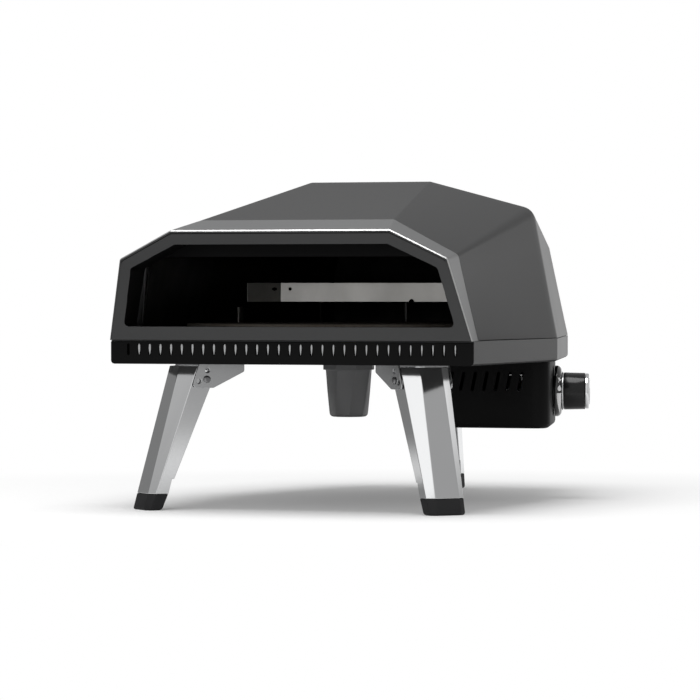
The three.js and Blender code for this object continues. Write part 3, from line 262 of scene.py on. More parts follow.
pressed = {
    "grain": 900.0, "grainShare": 0.5, "grainGloss": 0.1, "roughness": 0.84,
    "pits": 420.0, "pitSpan": (0.60, 0.68), "pitShare": 0.5, "pitDepth": 0.6, "bump": 0.5, "depth": 0.00025,
    "toast": 11.0, "toastSpan": (0.44, 0.72), "toastShare": 0.55, "toasted": (0.50, 0.38, 0.28),
    "dark": (0.060, 0.053, 0.045), "light": (0.125, 0.112, 0.095),
}


def baked(at):  # pizza stone: pressed mineral grain with toasted patches
    grain = noise(at, pressed["grain"], 3.0, 0.7)
    pits = ramp(noise(at, pressed["pits"], 2.0), *pressed["pitSpan"])
    toast = ramp(noise(at, pressed["toast"], 4.0, 0.62), *pressed["toastSpan"])
    tone = grain * pressed["grainShare"] + (1.0 - pits) * pressed["pitShare"]
    pale = tinted(tone, pressed["dark"], pressed["light"])
    return {
        "Base Color": tinted(toast * pressed["toastShare"], pale, pressed["toasted"], "MULTIPLY"),
        "Roughness": grain * pressed["grainGloss"] + pressed["roughness"],
        "Normal": bumped(grain - pits * pressed["pitDepth"], pressed["bump"], pressed["depth"]),
    }


wool = {
    "lumps": 55.0, "strands": (500.0, 160.0, 500.0), "strandShare": 0.6, "lumpShare": 0.4,
    "dark": (0.42, 0.38, 0.30), "light": (0.72, 0.67, 0.57),
    "roughness": 0.88, "strandGloss": 0.1, "strandRise": 0.5, "bump": 0.6, "depth": 0.0012,
}


def felted(at):  # mineral wool blanket
    lumps = noise(at, wool["lumps"], 4.0, 0.7)
    strands = noise(stretched(at, wool["strands"]), 1.0, 3.0, 0.7)
    tone = strands * wool["strandShare"] + lumps * wool["lumpShare"]
    return {
        "Base Color": tinted(tone, wool["dark"], wool["light"]),
        "Roughness": strands * wool["strandGloss"] + wool["roughness"],
        "Normal": bumped(lumps + strands * wool["strandRise"], wool["bump"], wool["depth"]),
    }


glaze = {
    "clouds": 140.0, "dark": (0.028, 0.026, 0.024), "light": (0.06, 0.057, 0.052),
    "roughness": 0.28, "cloudGloss": 0.2, "bump": 0.15, "depth": 0.0001,
}


def glazed(at):  # smoked insulator
    cloud = noise(at, glaze["clouds"], 3.0)
    return {
        "Base Color": tinted(cloud, glaze["dark"], glaze["light"]),
        "Roughness": cloud * glaze["cloudGloss"] + glaze["roughness"],
        "Normal": bumped(cloud, glaze["bump"], glaze["depth"]),
    }


looks = {
    "charcoal_paint": {
        "constants": {"Metallic": 0.25, "Specular IOR Level": 0.4},
        "fields": coated((0.029, 0.0295, 0.030), (0.0425, 0.043, 0.0435), 0.36, 0.08, 900.0, 0.00004),
    },
    # painted light: a copy of the charcoal paint made lighter, standing in for the light on the visor band
    "visor_paint": {
        "constants": {},
        # painted highlight along the turned front edge
        "fields": edgeHighlighted(
            coated((0.130, 0.131, 0.133), (0.165, 0.166, 0.168), 0.34, 0.08, 900.0, 0.00003),
            (0.62, 0.62, 0.62),
        ),
    },
    "fascia_paint": {
        "constants": {"Metallic": 0.25, "Specular IOR Level": 0.38},
        "fields": coated((0.044, 0.0445, 0.045), (0.058, 0.0585, 0.059), 0.42, 0.08, 900.0, 0.00004),
    },
    # painted light: a copy of the charcoal paint made lighter, making up for the shade under the base
    "housing_paint": {
        "constants": {"Metallic": 0.3, "Specular IOR Level": 0.45},
        "fields": coated((0.110, 0.111, 0.113), (0.140, 0.141, 0.143), 0.36, 0.08, 900.0, 0.00004),
    },
    "black_paint": {
        "constants": {"Specular IOR Level": 0.1},
        "fields": coated((0.0022, 0.0022, 0.0023), (0.0045, 0.0045, 0.0046), 0.40, 0.10, 1100.0, 0.00003),
    },
    "bracket_steel": {
        "constants": {"Metallic": 1.0},
        "fields": drawn((0.50, 0.505, 0.51), (0.66, 0.665, 0.67), 0.16, 0, 0.00001, 0.06),
    },
    "blanket": {"constants": {}, "fields": felted},
    "chamber_steel": {
        "constants": {"Metallic": 1.0},
        "fields": heated((0.66, 0.645, 0.61), (0.88, 0.86, 0.82), 0.20),
    },
    # painted light: a lighter, half-diffuse copy of the chamber steel, brightening the guard in the shade
    # of the chamber
    "guard_steel": {
        "constants": {"Metallic": 0.5},
        "fields": heated((0.80, 0.785, 0.75), (0.95, 0.93, 0.90), 0.12, 0.45),
    },
    # near-black steel, for the liner, the burner and its brackets and the vent baffle
    "sooted_steel": {
        "constants": {"Metallic": 0.6, "Specular IOR Level": 0.2},
        "fields": heated((0.006, 0.006, 0.006), (0.022, 0.021, 0.019), 0.42),
    },
    "bare_steel": {
        "constants": {"Metallic": 0.95},
        "fields": drawn((0.48, 0.485, 0.49), (0.66, 0.665, 0.67), 0.28, 0),
    },
    # bright steel of the lips, part of the painted highlight in the vent slots
    "lip_highlight_steel": {
        "constants": {"Metallic": 0.3},
        "fields": drawn((0.50, 0.505, 0.51), (0.62, 0.625, 0.63), 0.4, 2),
    },
    "pin_steel": {
        "constants": {"Metallic": 0.9},
        "fields": drawn((0.20, 0.20, 0.205), (0.32, 0.32, 0.325), 0.24, 0),
    },
    "baking_stone": {"constants": {"Specular IOR Level": 0.2}, "fields": baked},
    "brass": {
        "constants": {"Metallic": 0.95},
        "fields": drawn((0.50, 0.33, 0.12), (0.72, 0.52, 0.22), 0.3, 2),
    },
    "igniter_ceramic": {"constants": {"Coat Weight": 0.3}, "fields": glazed},
    "black_plastic": {
        "constants": {"Specular IOR Level": 0.45},
        "fields": coated((0.006, 0.006, 0.0065), (0.012, 0.012, 0.0125), 0.46, 0.12, 1600.0, 0.00006),
    },
    "pipe_aluminium": {
        "constants": {"Metallic": 0.95},
        "fields": drawn((0.52, 0.53, 0.54), (0.70, 0.71, 0.72), 0.3, 1),
    },
    "gloss_black": {
        "constants": {"Coat Weight": 0.8, "Coat Roughness": 0.04},
        "fields": coated((0.003, 0.003, 0.0032), (0.006, 0.006, 0.0062), 0.12, 0.04, 500.0, 0.00001),
    },
    "dial_print": {
        "constants": {"Specular IOR Level": 0.3},
        "fields": coated((0.80, 0.80, 0.80), (0.90, 0.90, 0.90), 0.5, 0.1, 900.0, 0.00001),
    },
    "knob_plastic": {
        "constants": {"Coat Weight": 0.12, "Coat Roughness": 0.06, "Specular IOR Level": 0.25},
        "fields": coated((0.006, 0.006, 0.0062), (0.011, 0.011, 0.0112), 0.14, 0.05, 700.0, 0.00001),
    },
    "chrome": {
        "constants": {"Metallic": 1.0},
        "fields": drawn((0.72, 0.725, 0.73), (0.84, 0.845, 0.85), 0.06, 2, 0.000004, 0.04),
    },
    "leg_aluminium": {
        "constants": {"Metallic": 1.0},
        "fields": drawn((0.60, 0.605, 0.61), (0.70, 0.705, 0.71), 0.085, 2, 0.000004, 0.04),
    },
    "foot_rubber": {
        "constants": {"Specular IOR Level": 0.3},
        "fields": coated((0.010, 0.010, 0.011), (0.018, 0.018, 0.019), 0.6, 0.12, 800.0, 0.0001),
    },
}
materials = {name: makeMaterial(name, look) for name, look in looks.items()}
print("materials made:", len(materials))


def settled(piece):  # the piece with its modifiers worked into its mesh
    bpy.context.view_layer.update()
    evaluated = piece.evaluated_get(bpy.context.evaluated_depsgraph_get())
    mesh = bpy.data.meshes.new_from_object(evaluated)
    piece.modifiers.clear()
    piece.data = mesh
    return piece


def dressed(piece, slot, body, *replaced):
    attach(piece, body)
    if replaced:
        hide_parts(*replaced)
    return piece


mending = {  # distances in metres, angles in degrees
    "weld": 0.0000001, "join": 0.00001, "shrink": 0.00002,
    "flat": 0.6, "crease": 32, "segments": 2,
}


def refined(node, slot, width, look=None, crease=mending["crease"]):  # the solid's mesh, edges rounded
    mesh = nodes[node].data.copy()
    mesh.materials.clear()
    mesh.materials.append(materials[look or slot])
    form = bmesh.new()
    form.from_mesh(mesh)
    bmesh.ops.remove_doubles(form, verts=form.verts, dist=mending["join"])
    bmesh.ops.dissolve_degenerate(form, dist=mending["shrink"], edges=form.edges)
    flat = math.radians(mending["flat"])
    bmesh.ops.dissolve_limit(form, angle_limit=flat, verts=form.verts, edges=form.edges)
    form.to_mesh(mesh)
    form.free()
    piece = bpy.data.objects.new(node + "_fine", mesh)
    scene.collection.objects.link(piece)
    softened(piece, crease)
    edges = piece.modifiers.new("edges", "BEVEL")
    edges.width = width
    edges.segments = mending["segments"]
    edges.limit_method = "ANGLE"
    edges.angle_limit = math.radians(crease)
    edges.use_clamp_overlap = False
    edges.harden_normals = True
    settled(piece)
    return dressed(piece, slot, bodyOf[node], node)


def meshPiece(name, points, faces, slots, faceSlots=None):
    mesh = bpy.data.meshes.new(name)
    mesh.from_pydata([tuple(point) for point in points], [], faces)
    for slot in slots:
        mesh.materials.append(materials[slot])
    if faceSlots:
        mesh.polygons.foreach_set("material_index", faceSlots)
    mesh.update()
    piece = bpy.data.objects.new(name, mesh)
    scene.collection.objects.link(piece)
    return piece


def outwardFaces(piece):  # welded, without stray edges, and with every face turned outward
    form = bmesh.new()
    form.from_mesh(piece.data)
    bmesh.ops.remove_doubles(form, verts=form.verts, dist=mending["weld"])
    strays = [edge for edge in form.edges if not edge.link_faces]
    bmesh.ops.delete(form, geom=strays, context="EDGES")
    bmesh.ops.recalc_face_normals(form, faces=form.faces)
    form.to_mesh(piece.data)
    form.free()
    return piece


def softened(piece, crease):
    piece.data.shade_smooth()
    piece.data.set_sharp_from_angle(angle=math.radians(crease))
    return piece


def arc(before, corner, after, radius, steps):  # rounded corner of a line of points in a plane
    toBefore, toAfter = (before - corner).normalized(), (after - corner).normalized()
    half = toBefore.angle(toAfter) / 2
    reach = radius / math.tan(half)
    start, end = corner + toBefore * reach, corner + toAfter * reach
    centre = corner + (toBefore + toAfter).normalized() * radius / math.sin(half)
    turn = (start - centre).angle_signed(end - centre)
    made = []
    for step in range(steps + 1):
        spoke = (start - centre).copy()
        spoke.rotate(Matrix.Rotation(-turn * step / steps, 2))
        made.append(centre + spoke)
    return made


shell = {  # half widths and heights at three stations, the middle shoulder further back than its ridge
    "front": {
        "y": 0.0, "bottom": 209.4,
        "shoulder": (199.4, 95.3), "ridge": (128.1, 139.6), "radii": (6.0, 6.0),
    },
    "middle": {
        "y": 320.0, "bottom": 245.8,
        "shoulder": (204.7, 163.1), "ridge": (78.9, 198.4), "radii": (20.0, 9.0),
    },
    "rear": {
        "y": 630.0, "bottom": 174.5,
        "shoulder": (148.5, 118.2), "ridge": (72.0, 137.0), "radii": (4.0, 6.0),
    },
    "node": "hood_shell", "slot": "charcoal_paint", "look": "charcoal_paint",
    "shoulderBack": 32.0,
    "straightTo": 120.0,  # the step back of the shoulder begins here
    "lean": math.tan(math.radians(14.5)),
    "leaning": [(78, 0.85), (88, 0.6), (100, 0.35), (112, 0.12)],  # depth and the share of the lean left
    "depths": [120, 160, 200, 240, 280, 304, 316, 320, 324, 336, 360, 400, 440, 480, 520, 560, 600, 627],
    "seam": 69.0,
    "gap": 0.3,
    "wall": 1.2,
    "bend": 3.0,
    "bendSteps": 3,
    "flange": 5.5,
    "foot": 0.8,
    "arcSteps": 6,
    "spanParts": 5,
    "leastRadius": 1.0,
    "crease": 38,
}


def profile(station, skin):  # points from one foot over the crown to the other, this far inside the face
    ridge = Vector(station["ridge"])
    corners = [Vector((station["bottom"], 0)), Vector(station["shoulder"]), ridge, Vector((0, ridge.y))]
    lines = []
    for first, second in zip(corners, corners[1:]):
        along = (second - first).normalized()
        lines.append((first + Vector((-along.y, along.x)) * skin, along))
    foot, along = lines[0]
    made = [foot - along * (foot.y / along.y)]
    for (a, u), (b, v) in zip(lines, lines[1:]):
        made.append(a + u * ((b - a).cross(v) / u.cross(v)))  # where two neighbouring lines cross
    made.append(Vector((0, ridge.y - skin)))
    shoulder, crown = (
        arc(made[i], made[i + 1], made[i + 2], max(radius - skin, shell["leastRadius"]), shell["arcSteps"])
        for i, radius in enumerate(station["radii"])
    )
    bones = [(made[0], shoulder[0]), (shoulder[-1], crown[0]), (crown[-1], made[3])]
    count = shell["spanParts"]
    spans = [[start.lerp(end, part / count) for part in range(1, count)] for start, end in bones]
    half = [made[0], *spans[0], *shoulder, *spans[1], *crown, *spans[2], made[3]]
    return half + [Vector((-point.x, point.y)) for point in reversed(half[:-1])]


def backShares():  # how far each point of a profile takes part in the step back of the shoulder
    count, arcPoints = shell["spanParts"], shell["arcSteps"] + 1
    rising = [part / count for part in range(1, count)]
    half = [0.0, *rising, *[1.0] * arcPoints, *reversed(rising), *[0.0] * (arcPoints + count)]
    return half + list(reversed(half[:-1]))


def hoodRow(depth, lean, skin, foot=0.0):  # points round the hood at this depth, the top leaning forward
    front, middle, rear = shell["front"], shell["middle"], shell["rear"]
    before = depth <= middle["y"]
    near, far = (front, middle) if before else (middle, rear)
    reach = (depth - shell["straightTo"]) / (middle["y"] - shell["straightTo"])
    reach = max(reach, 0) if before else (rear["y"] - depth) / (rear["y"] - middle["y"])
    row = []
    for a, b, back in zip(profile(near, skin), profile(far, skin), backShares()):
        step = back * shell["shoulderBack"]
        start = Vector((a.x, near["y"] + (0 if before else step), a.y))
        along = Vector((b.x, far["y"] + (step if before else 0), b.y)) - start
        share = (depth + step * reach - lean * start.z - start.y) / (along.y + lean * along.z)
        point = start + along * share
        row.append(Vector((point.x, point.y, max(point.z, foot))))
    return row


def strips(rows, closed=False):  # faces between rows with equal numbers of points
    count = len(rows[0])
    pairs = list(zip(range(len(rows)), range(1, len(rows))))
    if closed:
        pairs.append((len(rows) - 1, 0))
    return [
        (a * count + i, a * count + i + 1, b * count + i + 1, b * count + i)
        for a, b in pairs
        for i in range(count - 1)
    ]


def shellPiece(name, rows, layer):  # rows closed by a rear wall and given a thickness
    fold = Vector((layer["flange"], 0, 0))
    inset = 1 if layer["flange"] else 0
    if inset:
        rows = [[row[0] - fold, *row, row[-1] + fold] for row in rows]
    points = [put(*point) for row in rows for point in row]
    last = (len(rows) - 1) * len(rows[0])
    rearWall = tuple(range(last + inset, last + len(rows[0]) - inset))
    piece = meshPiece(name, points, [*strips(rows), rearWall], [layer["look"]])
    outwardFaces(piece)
    sheet = piece.modifiers.new("wall", "SOLIDIFY")
    sheet.thickness = layer["wall"] / perMetre
    sheet.offset = -1
    sheet.use_even_offset = True
    settled(piece)
    return dressed(softened(piece, shell["crease"]), layer["slot"], "oven", layer["node"])


def hoodPiece():
    foot, lean, bend, steps = (shell[name] for name in ("foot", "lean", "bend", "bendSteps"))
    rows = [hoodRow(shell["seam"] + shell["gap"], lean, 0, foot)]
    rows += [hoodRow(depth, lean * share, 0, foot) for depth, share in shell["leaning"]]
    middle = len(rows) + shell["depths"].index(shell["middle"]["y"])
    rows += [hoodRow(depth, 0, 0, foot) for depth in shell["depths"]]
    before, at, after = rows[middle - 1:middle + 2]
    rows[middle] = [(a + b) / 4 + c / 2 for a, b, c in zip(before, after, at)]  # eases the fold
    for step in range(1, steps + 1):
        turn = math.pi / 2 * step / steps
        depth = shell["rear"]["y"] - bend * (1 - math.sin(turn))
        rows.append(hoodRow(depth, 0, bend * (1 - math.cos(turn)), foot))
    return shellPiece("hood", rows, shell)


inside = {  # what lies within the hood: its skin measured from the hood's face, its ends by depth
    "blanket": {
        "node": "insulation_blanket", "slot": "blanket", "look": "blanket", "flange": 0,
        "skin": 2.2, "wall": 3.3, "foot": 2.2, "ends": (85, 627.8), "lean": shell["lean"],
    },
    "liner": {
        "node": "inner_liner", "slot": "chamber_steel", "look": "sooted_steel", "flange": 0,
        "skin": 6.5, "wall": 1.2, "foot": 0.3, "ends": (45, 623.5), "lean": 0,
    },
}
insideDepths = [120, 200, 280, 320, 360, 440, 520, 600]


def insidePieces():
    for name, layer in inside.items():
        first, last = layer["ends"]
        rows = [hoodRow(first, layer["lean"], layer["skin"], layer["foot"])]
        rows += [hoodRow(depth, 0, layer["skin"], layer["foot"]) for depth in [*insideDepths, last]]
        shellPiece(name, rows, layer)


visor = {
    "front": {
        "bottom": 230.8, "shoulder": (207.4, 98.2), "ridge": (138.65, 132.2), "radii": (5.0, 5.0),
    },
    "section": {  # depth and skin of each line, from the seam to the front and back on the inner side
        "outer": [(69.0, 0.0), (55.0, 0.0), (40.0, 0.0), (25.0, 0.0), (10.0, 0.0), (2.5, 0.0)],
        # the highlighted lines carry the painted highlight along the front edge
        "polished": [(2.1, 0.05), (0.25, 1.35)],
        "lip": [(0.05, 1.6), (-0.12, 1.9), (-0.14, 3.3), (0.3, 3.4), (0.8, 3.0), (6.0, 3.0)],
        "inner": [(6.6, 2.6), (7.0, 2.0), (12.0, 2.0), (40.0, 2.0), (66.5, 2.0)],
        "overHood": [(66.5, 2.7), (77.0, 2.7), (77.0, 1.5), (69.0, 1.5)],
    },
    "crease": 30,
}


def visorPiece():
    lines = [(zone, *line) for zone, places in visor["section"].items() for line in places]
    zones = [zone for zone, *_ in lines]
    rows = []
    for zone, depth, skin in lines:
        if zone == "overHood":
            rows.append(hoodRow(depth, shell["lean"], skin))
        else:
            rear = hoodRow(shell["seam"], shell["lean"], skin)
            front = [Vector((p.x, -shell["lean"] * p.y, p.y)) for p in profile(visor["front"], skin)]
            rows.append([a.lerp(b, depth / shell["seam"]) for a, b in zip(front, rear)])
    points = [put(*point) for row in rows for point in row]
    faces = strips(rows, closed=True)
    count = len(rows[0])
    faces.append(tuple(i * count for i in range(len(rows))))
    faces.append(tuple(i * count + count - 1 for i in reversed(range(len(rows)))))
    lip = [int(zone == "lip") for zone in zones[1:] + zones[:1] for _ in range(count - 1)]
    # the visor band takes the lightened copy of the charcoal paint, painted light
    piece = meshPiece("visor", points, faces, ["visor_paint", "fascia_paint"], [*lip, 0, 0])
    edge = piece.data.attributes.new("edge", "FLOAT", "POINT")
    # marks the lines that take the painted highlight
    edge.data.foreach_set("value", [float(zone == "polished") for zone in zones for _ in range(count)])
    return dressed(softened(outwardFaces(piece), visor["crease"]), "visor_paint", "oven", "visor_band")


hoodPiece()
insidePieces()
visorPiece()
print("hood, blanket, liner and visor made")

fine = {  # node: slot, bevel width in metres, look where it isn't the slot's, crease
    "base_tray": ("charcoal_paint", 0.0004),
    "deck_plate": ("charcoal_paint", 0.0003),
    # the housing takes the lightened copy of the charcoal paint, painted light
    "motor_housing": ("charcoal_paint", 0.0006, "housing_paint"),
    "front_fascia": ("fascia_paint", 0.0006),
    "vent_panel": ("black_paint", 0.0003),
    "box_cover": ("black_paint", 0.0003),
    "mouth_lintel": ("black_paint", 0.0003),
    "control_box": ("black_paint", 0.0004, None, 50),
    "vent_baffle": ("bare_steel", 0.0003, "sooted_steel"),
    "stone_carrier": ("bare_steel", 0.0003),
    "drive_shaft": ("bare_steel", 0.0004),
    "burner_tube": ("chamber_steel", 0.0003, "sooted_steel"),
    "valve_stem": ("bare_steel", 0.0003),
    "gear_motor": ("bare_steel", 0.0005),
    "burner_bracket_left": ("bare_steel", 0.0003, "sooted_steel"),
    "burner_bracket_right": ("bare_steel", 0.0003, "sooted_steel"),
    "flame_guard": ("chamber_steel", 0.0003, "guard_steel"),
    "stone_guide": ("chamber_steel", 0.0003),
    "pizza_stone": ("baking_stone", 0.0008),
    "shaft_bushing": ("brass", 0.0003),
    "gas_inlet": ("brass", 0.0004),
    "gas_valve": ("brass", 0.0005),
    "valve_plunger": ("brass", 0.0003),
    "igniter_electrode": ("igniter_ceramic", 0.0003),
    "switch_socket": ("black_plastic", 0.0003),
    "motor_switch": ("black_plastic", 0.0004),
    "igniter_module": ("black_plastic", 0.0005),
    "gas_pipe": ("pipe_aluminium", 0.0002),
    "supply_pipe": ("pipe_aluminium", 0.0002),
}
for side in ("left", "right", "rear"):
    fine |= {
        f"leg_bracket_{side}": ("bracket_steel", 0.0004),
        f"leg_pivot_pin_{side}": ("bare_steel", 0.0004, "pin_steel"),
        f"leg_lock_button_{side}": ("chrome", 0.0003),
        f"leg_{side}": ("leg_aluminium", 0.0007),
        f"leg_foot_{side}": ("foot_rubber", 0.0010),
    }
for node, values in fine.items():
    refined(node, *values)

fascia = {"plate": 2.4, "sillFrom": 12, "sillTo": 20, "slope": 0.3}  # slopes as parts of a face's normal
# the downward faces of these pieces are painted black, as shade
underside = {"pieces": ("base_tray_fine", "deck_plate_fine"), "slope": 0.6}


def paintFascia():  # black walls in the mouth behind the plate, and a painted highlight along the sill's edge, in the lighter visor paint
    mesh = bpy.data.objects["front_fascia_fine"].data
    mesh.materials.append(materials["black_paint"])
    mesh.materials.append(materials["visor_paint"])
    own, black, sillHighlight = range(3)
    for face in mesh.polygons:
        place = (face.center - origin) * perMetre
        slopes = face.normal.z > fascia["slope"] and face.normal.y < -fascia["slope"]
        # painted highlight: the sloping faces of the sill's edge take the lighter visor paint
        if slopes and fascia["sillFrom"] < place.z < fascia["sillTo"]:
            face.material_index = sillHighlight
        elif place.y + shell["lean"] * place.z > fascia["plate"]:
            face.material_index = black
        else:
            face.material_index = own


def shadeUndersides():  # painted shade: their downward faces black, as the shade under the base, also where the legs reflect them
    for name in underside["pieces"]:
        mesh = bpy.data.objects[name].data
        mesh.materials.append(materials["black_paint"])
        for face in mesh.polygons:
            face.material_index = int(face.normal.z < -underside["slope"])


paintFascia()
shadeUndersides()
print("nodes refined:", len(fine))

dial = {  # on the control box's outer face, which leans in towards the rear by these degrees
    "centre": (213.466, 420.0, -68.7), "lean": 13.0,
    "stem": 4.3, "sides": 72, "cornerSteps": 4, "crease": 40,
}
dialLean = math.radians(dial["lean"])
outward = Vector((math.cos(dialLean), math.sin(dialLean), 0))
sideways = Vector((math.sin(dialLean), -math.cos(dialLean), 0))


def dialPoint(radius, turn, height):  # turn in degrees from straight up, towards the front
    spoke = Vector((0, 0, math.cos(math.radians(turn)))) + sideways * math.sin(math.radians(turn))
    return origin + (Vector(dial["centre"]) + outward * height + spoke * radius) / perMetre


def turnedPiece(name, outline, slot, body, *replaced):  # closed outline of radius and height, turned
    sides, size = dial["sides"], len(outline)
    turns = [360 * i / sides for i in range(sides)]
    points = [dialPoint(radius, turn, height) for turn in turns for radius, height in outline]
    faces = []
    for i in range(sides):
        here, beyond = i * size, (i + 1) % sides * size
        for j in range(size):
            after = (j + 1) % size
            faces.append((here + j, here + after, beyond + after, beyond + j))
    piece = meshPiece(name, points, faces, [slot])
    return dressed(softened(outwardFaces(piece), dial["crease"]), slot, body, *replaced)


def rounding(radius, height, size, fromTurn, toTurn):  # quarter of a circle in an outline
    steps = dial["cornerSteps"]
    turns = [math.radians(fromTurn + (toTurn - fromTurn) * step / steps) for step in range(steps + 1)]
    return [(radius + size * math.cos(turn), height + size * math.sin(turn)) for turn in turns]


bezel = {
    "radius": 32.6, "corner": 0.9, "foot": 1.8, "hub": 20, "hubFoot": 0.3, "play": 1,
    "rim": 4.0, "face": 10.8, "domeSteps": 10, "well": 25.2, "wellDepth": 4.5,
}


def domePoint(share, proud=0.0):  # on the bezel's crown, from its rim at 0 to the knob's well at 1
    bend = math.pi / 2 * share
    radius = bezel["well"] + (bezel["radius"] - bezel["well"] + proud) * math.cos(bend)
    height = bezel["rim"] + (bezel["face"] - bezel["rim"] + proud) * math.sin(bend)
    return radius, height


def bezelPiece():
    hole, corner, foot = dial["stem"] + bezel["play"], bezel["corner"], bezel["foot"]
    wellFloor = bezel["face"] - bezel["wellDepth"]
    outline = [(hole, bezel["hubFoot"]), (bezel["hub"], bezel["hubFoot"]), (bezel["hub"], foot)]
    outline += rounding(bezel["radius"] - corner, foot + corner, corner, -90, 0)
    outline += [domePoint(step / bezel["domeSteps"]) for step in range(bezel["domeSteps"] + 1)]
    outline += [(bezel["well"], wellFloor), (hole, wellFloor)]
    return turnedPiece("bezel_disc", outline, "gloss_black", "oven", "bezel")


ring = {"radius": 24.0, "foot": 11.2, "end": 12.9, "corner": 0.5}


def footRing():
    corner = ring["corner"]
    outline = [(dial["stem"], ring["foot"])]
    outline += rounding(ring["radius"] - corner, ring["foot"] + corner, corner, -90, 0)
    outline += rounding(ring["radius"] - corner, ring["end"] - corner, corner, 0, 90)
    outline.append((dial["stem"], ring["end"]))
    return turnedPiece("knob_foot_ring", outline, "chrome", "control_knob")


skirt = {"radius": 23.8, "foot": 13.2, "footCorner": 0.8, "end": 40.4, "endCorner": 0.7, "draft": 0.5}


def knobSkirt():
    low, high = skirt["footCorner"], skirt["endCorner"]
    outline = [(dial["stem"], skirt["foot"])]
    outline += rounding(skirt["radius"] - low, skirt["foot"] + low, low, -90, 0)
    outline += rounding(skirt["radius"] - skirt["draft"] - high, skirt["end"] - high, high, 0, 90)
    outline.append((dial["stem"], skirt["end"]))
    return turnedPiece("knob_skirt", outline, "knob_plastic", "control_knob", "knob")


cap = {
    "radius": 22.6, "foot": 40.8, "seat": 21.5, "lift": 0.1, "footCorner": 0.7, "end": 45.6, "round": 2.0,
    "dish": 17.5, "dishFloor": 17.1, "dishDepth": 0.5, "middle": 9.0, "middleDepth": 0.3,
}


def knobCap():
    low, high, foot, end = cap["footCorner"], cap["round"], cap["foot"], cap["end"]
    outline = [(dial["stem"], foot), (cap["seat"], foot)]
    outline += rounding(cap["radius"] - low, foot + cap["lift"] + low, low, -90, 0)
    outline += rounding(cap["radius"] - high, end - high, high, 0, 90)
    outline += [(cap["dish"], end), (cap["dishFloor"], end - cap["dishDepth"])]
    outline += [(cap["middle"], end - cap["dishDepth"]), (0.0, end - cap["middleDepth"]), (0.0, foot)]
    return turnedPiece("knob_rim", outline, "chrome", "control_knob", "knob_cap")


prints = {  # marks on the bezel: rows of turn and the shares of the crown between which the mark lies
    "lifts": (-0.08, 0.12),  # its underside and its face, from the crown
    "across": 4,
    "marks": {
        "flame_wedge": [
            (93.5, 0.10, 0.84), (100, 0.11, 0.82), (108, 0.14, 0.78), (116, 0.18, 0.73), (124, 0.23, 0.67),
            (132, 0.29, 0.61), (140, 0.35, 0.55), (148, 0.40, 0.50), (156, 0.43, 0.47),
        ],
        "spark_mark": [
            (50, 0.60, 0.66), (57, 0.22, 0.46), (57.6, 0.22, 0.72), (62, 0.40, 0.64), (68.5, 0.26, 0.32),
        ],
        "flame_mark": [
            (74.5, 0.50, 0.54), (77.5, 0.36, 0.62), (81, 0.24, 0.74), (85, 0.20, 0.78), (88.5, 0.34, 0.64),
        ],
    },
}
pointer = {  # corners by radius and turn, in the cap's dish
    "lifts": (-0.1, 0.15),
    "rows": [[(8.2, -2.4), (16.4, -1.2)], [(8.2, 2.4), (16.4, 1.2)]],
}


def closedSheet(name, low, high, body):  # two grids of equal rows, joined round their rim
    count, rows = len(low[0]), len(low)
    size = count * rows
    points = [point for row in low + high for point in row]
    quads = strips(low)
    faces = quads + [tuple(size + i for i in reversed(quad)) for quad in quads]
    rim = list(range(count)) + [row * count + count - 1 for row in range(1, rows)]
    rim += [size - 1 - i for i in range(1, count)] + [row * count for row in reversed(range(1, rows - 1))]
    faces += [(a, b, size + b, size + a) for a, b in zip(rim, rim[1:] + rim[:1])]
    return dressed(outwardFaces(meshPiece(name, points, faces, ["dial_print"])), "dial_print", body)


def markGrid(mark, lift):  # rows of points over a mark, this far above the bezel's crown
    across = prints["across"]
    rows = []
    for turn, low, high in mark:
        spots = [domePoint(low + (high - low) * i / across, lift) for i in range(across + 1)]
        rows.append([dialPoint(radius, turn, height) for radius, height in spots])
    return rows


def pointerGrid(lift):
    height = cap["end"] - cap["dishDepth"] + lift
    return [[dialPoint(radius, turn, height) for radius, turn in row] for row in pointer["rows"]]


def printedMarks():
    for name, mark in prints["marks"].items():
        closedSheet(name, *(markGrid(mark, lift) for lift in prints["lifts"]), "oven")
    closedSheet("pointer_mark", *(pointerGrid(lift) for lift in pointer["lifts"]), "control_knob")


bezelPiece()
footRing()
knobSkirt()
knobCap()
printedMarks()
print("dial made")


class Grower:  # one Geometry Nodes tree that repeats a shape
    def __init__(self, name, inputs):
        self.tree = bpy.data.node_groups.new(name, "GeometryNodeTree")
        for way in ("INPUT", "OUTPUT"):
            self.tree.interface.new_socket("Geometry", in_out=way, socket_type="NodeSocketGeometry")
        self.identifiers = {}
        for title, (kind, value) in inputs.items():
            socket = self.tree.interface.new_socket(title, in_out="INPUT", socket_type=kind)
            socket.default_value = value
            self.identifiers[title] = socket.identifier
        self.entry = self.tree.nodes.new("NodeGroupInput")

    def given(self, title):
        return Signal(self.tree, self.entry.outputs[title])

    def grown(self, name, geometry, slot, base, values):  # realised, dressed and settled as a plain mesh
        real = geometry.make("GeometryNodeRealizeInstances", {}, {"Geometry": geometry})
        done = real.make("GeometryNodeSetMaterial", {}, {"Geometry": real, "Material": materials[slot]})
        end = self.tree.nodes.new("NodeGroupOutput")
        self.tree.links.new(done.socket, end.inputs[0])
        piece = bpy.data.objects.new(name, base)
        scene.collection.objects.link(piece)
        grow = piece.modifiers.new("grow", "NODES")
        grow.node_group = self.tree
        for title, value in values.items():
            grow[self.identifiers[title]] = value
        return settled(piece)


lips = {  # bright lips of the louvres, seen through the slots of the front panel; their taper towards the bottom and their narrowing from the first slot to the last are a painted highlight of lit steel in the slots
    "count": 30, "first": -193.76, "pitch": 13.84, "top": -4.6, "bottom": -17.8, "face": 6.3,
    "wide": 2.7, "narrow": 1.5, "depth": 0.4, "taper": 1.2, "waist": 0.9, "sides": 16,
}


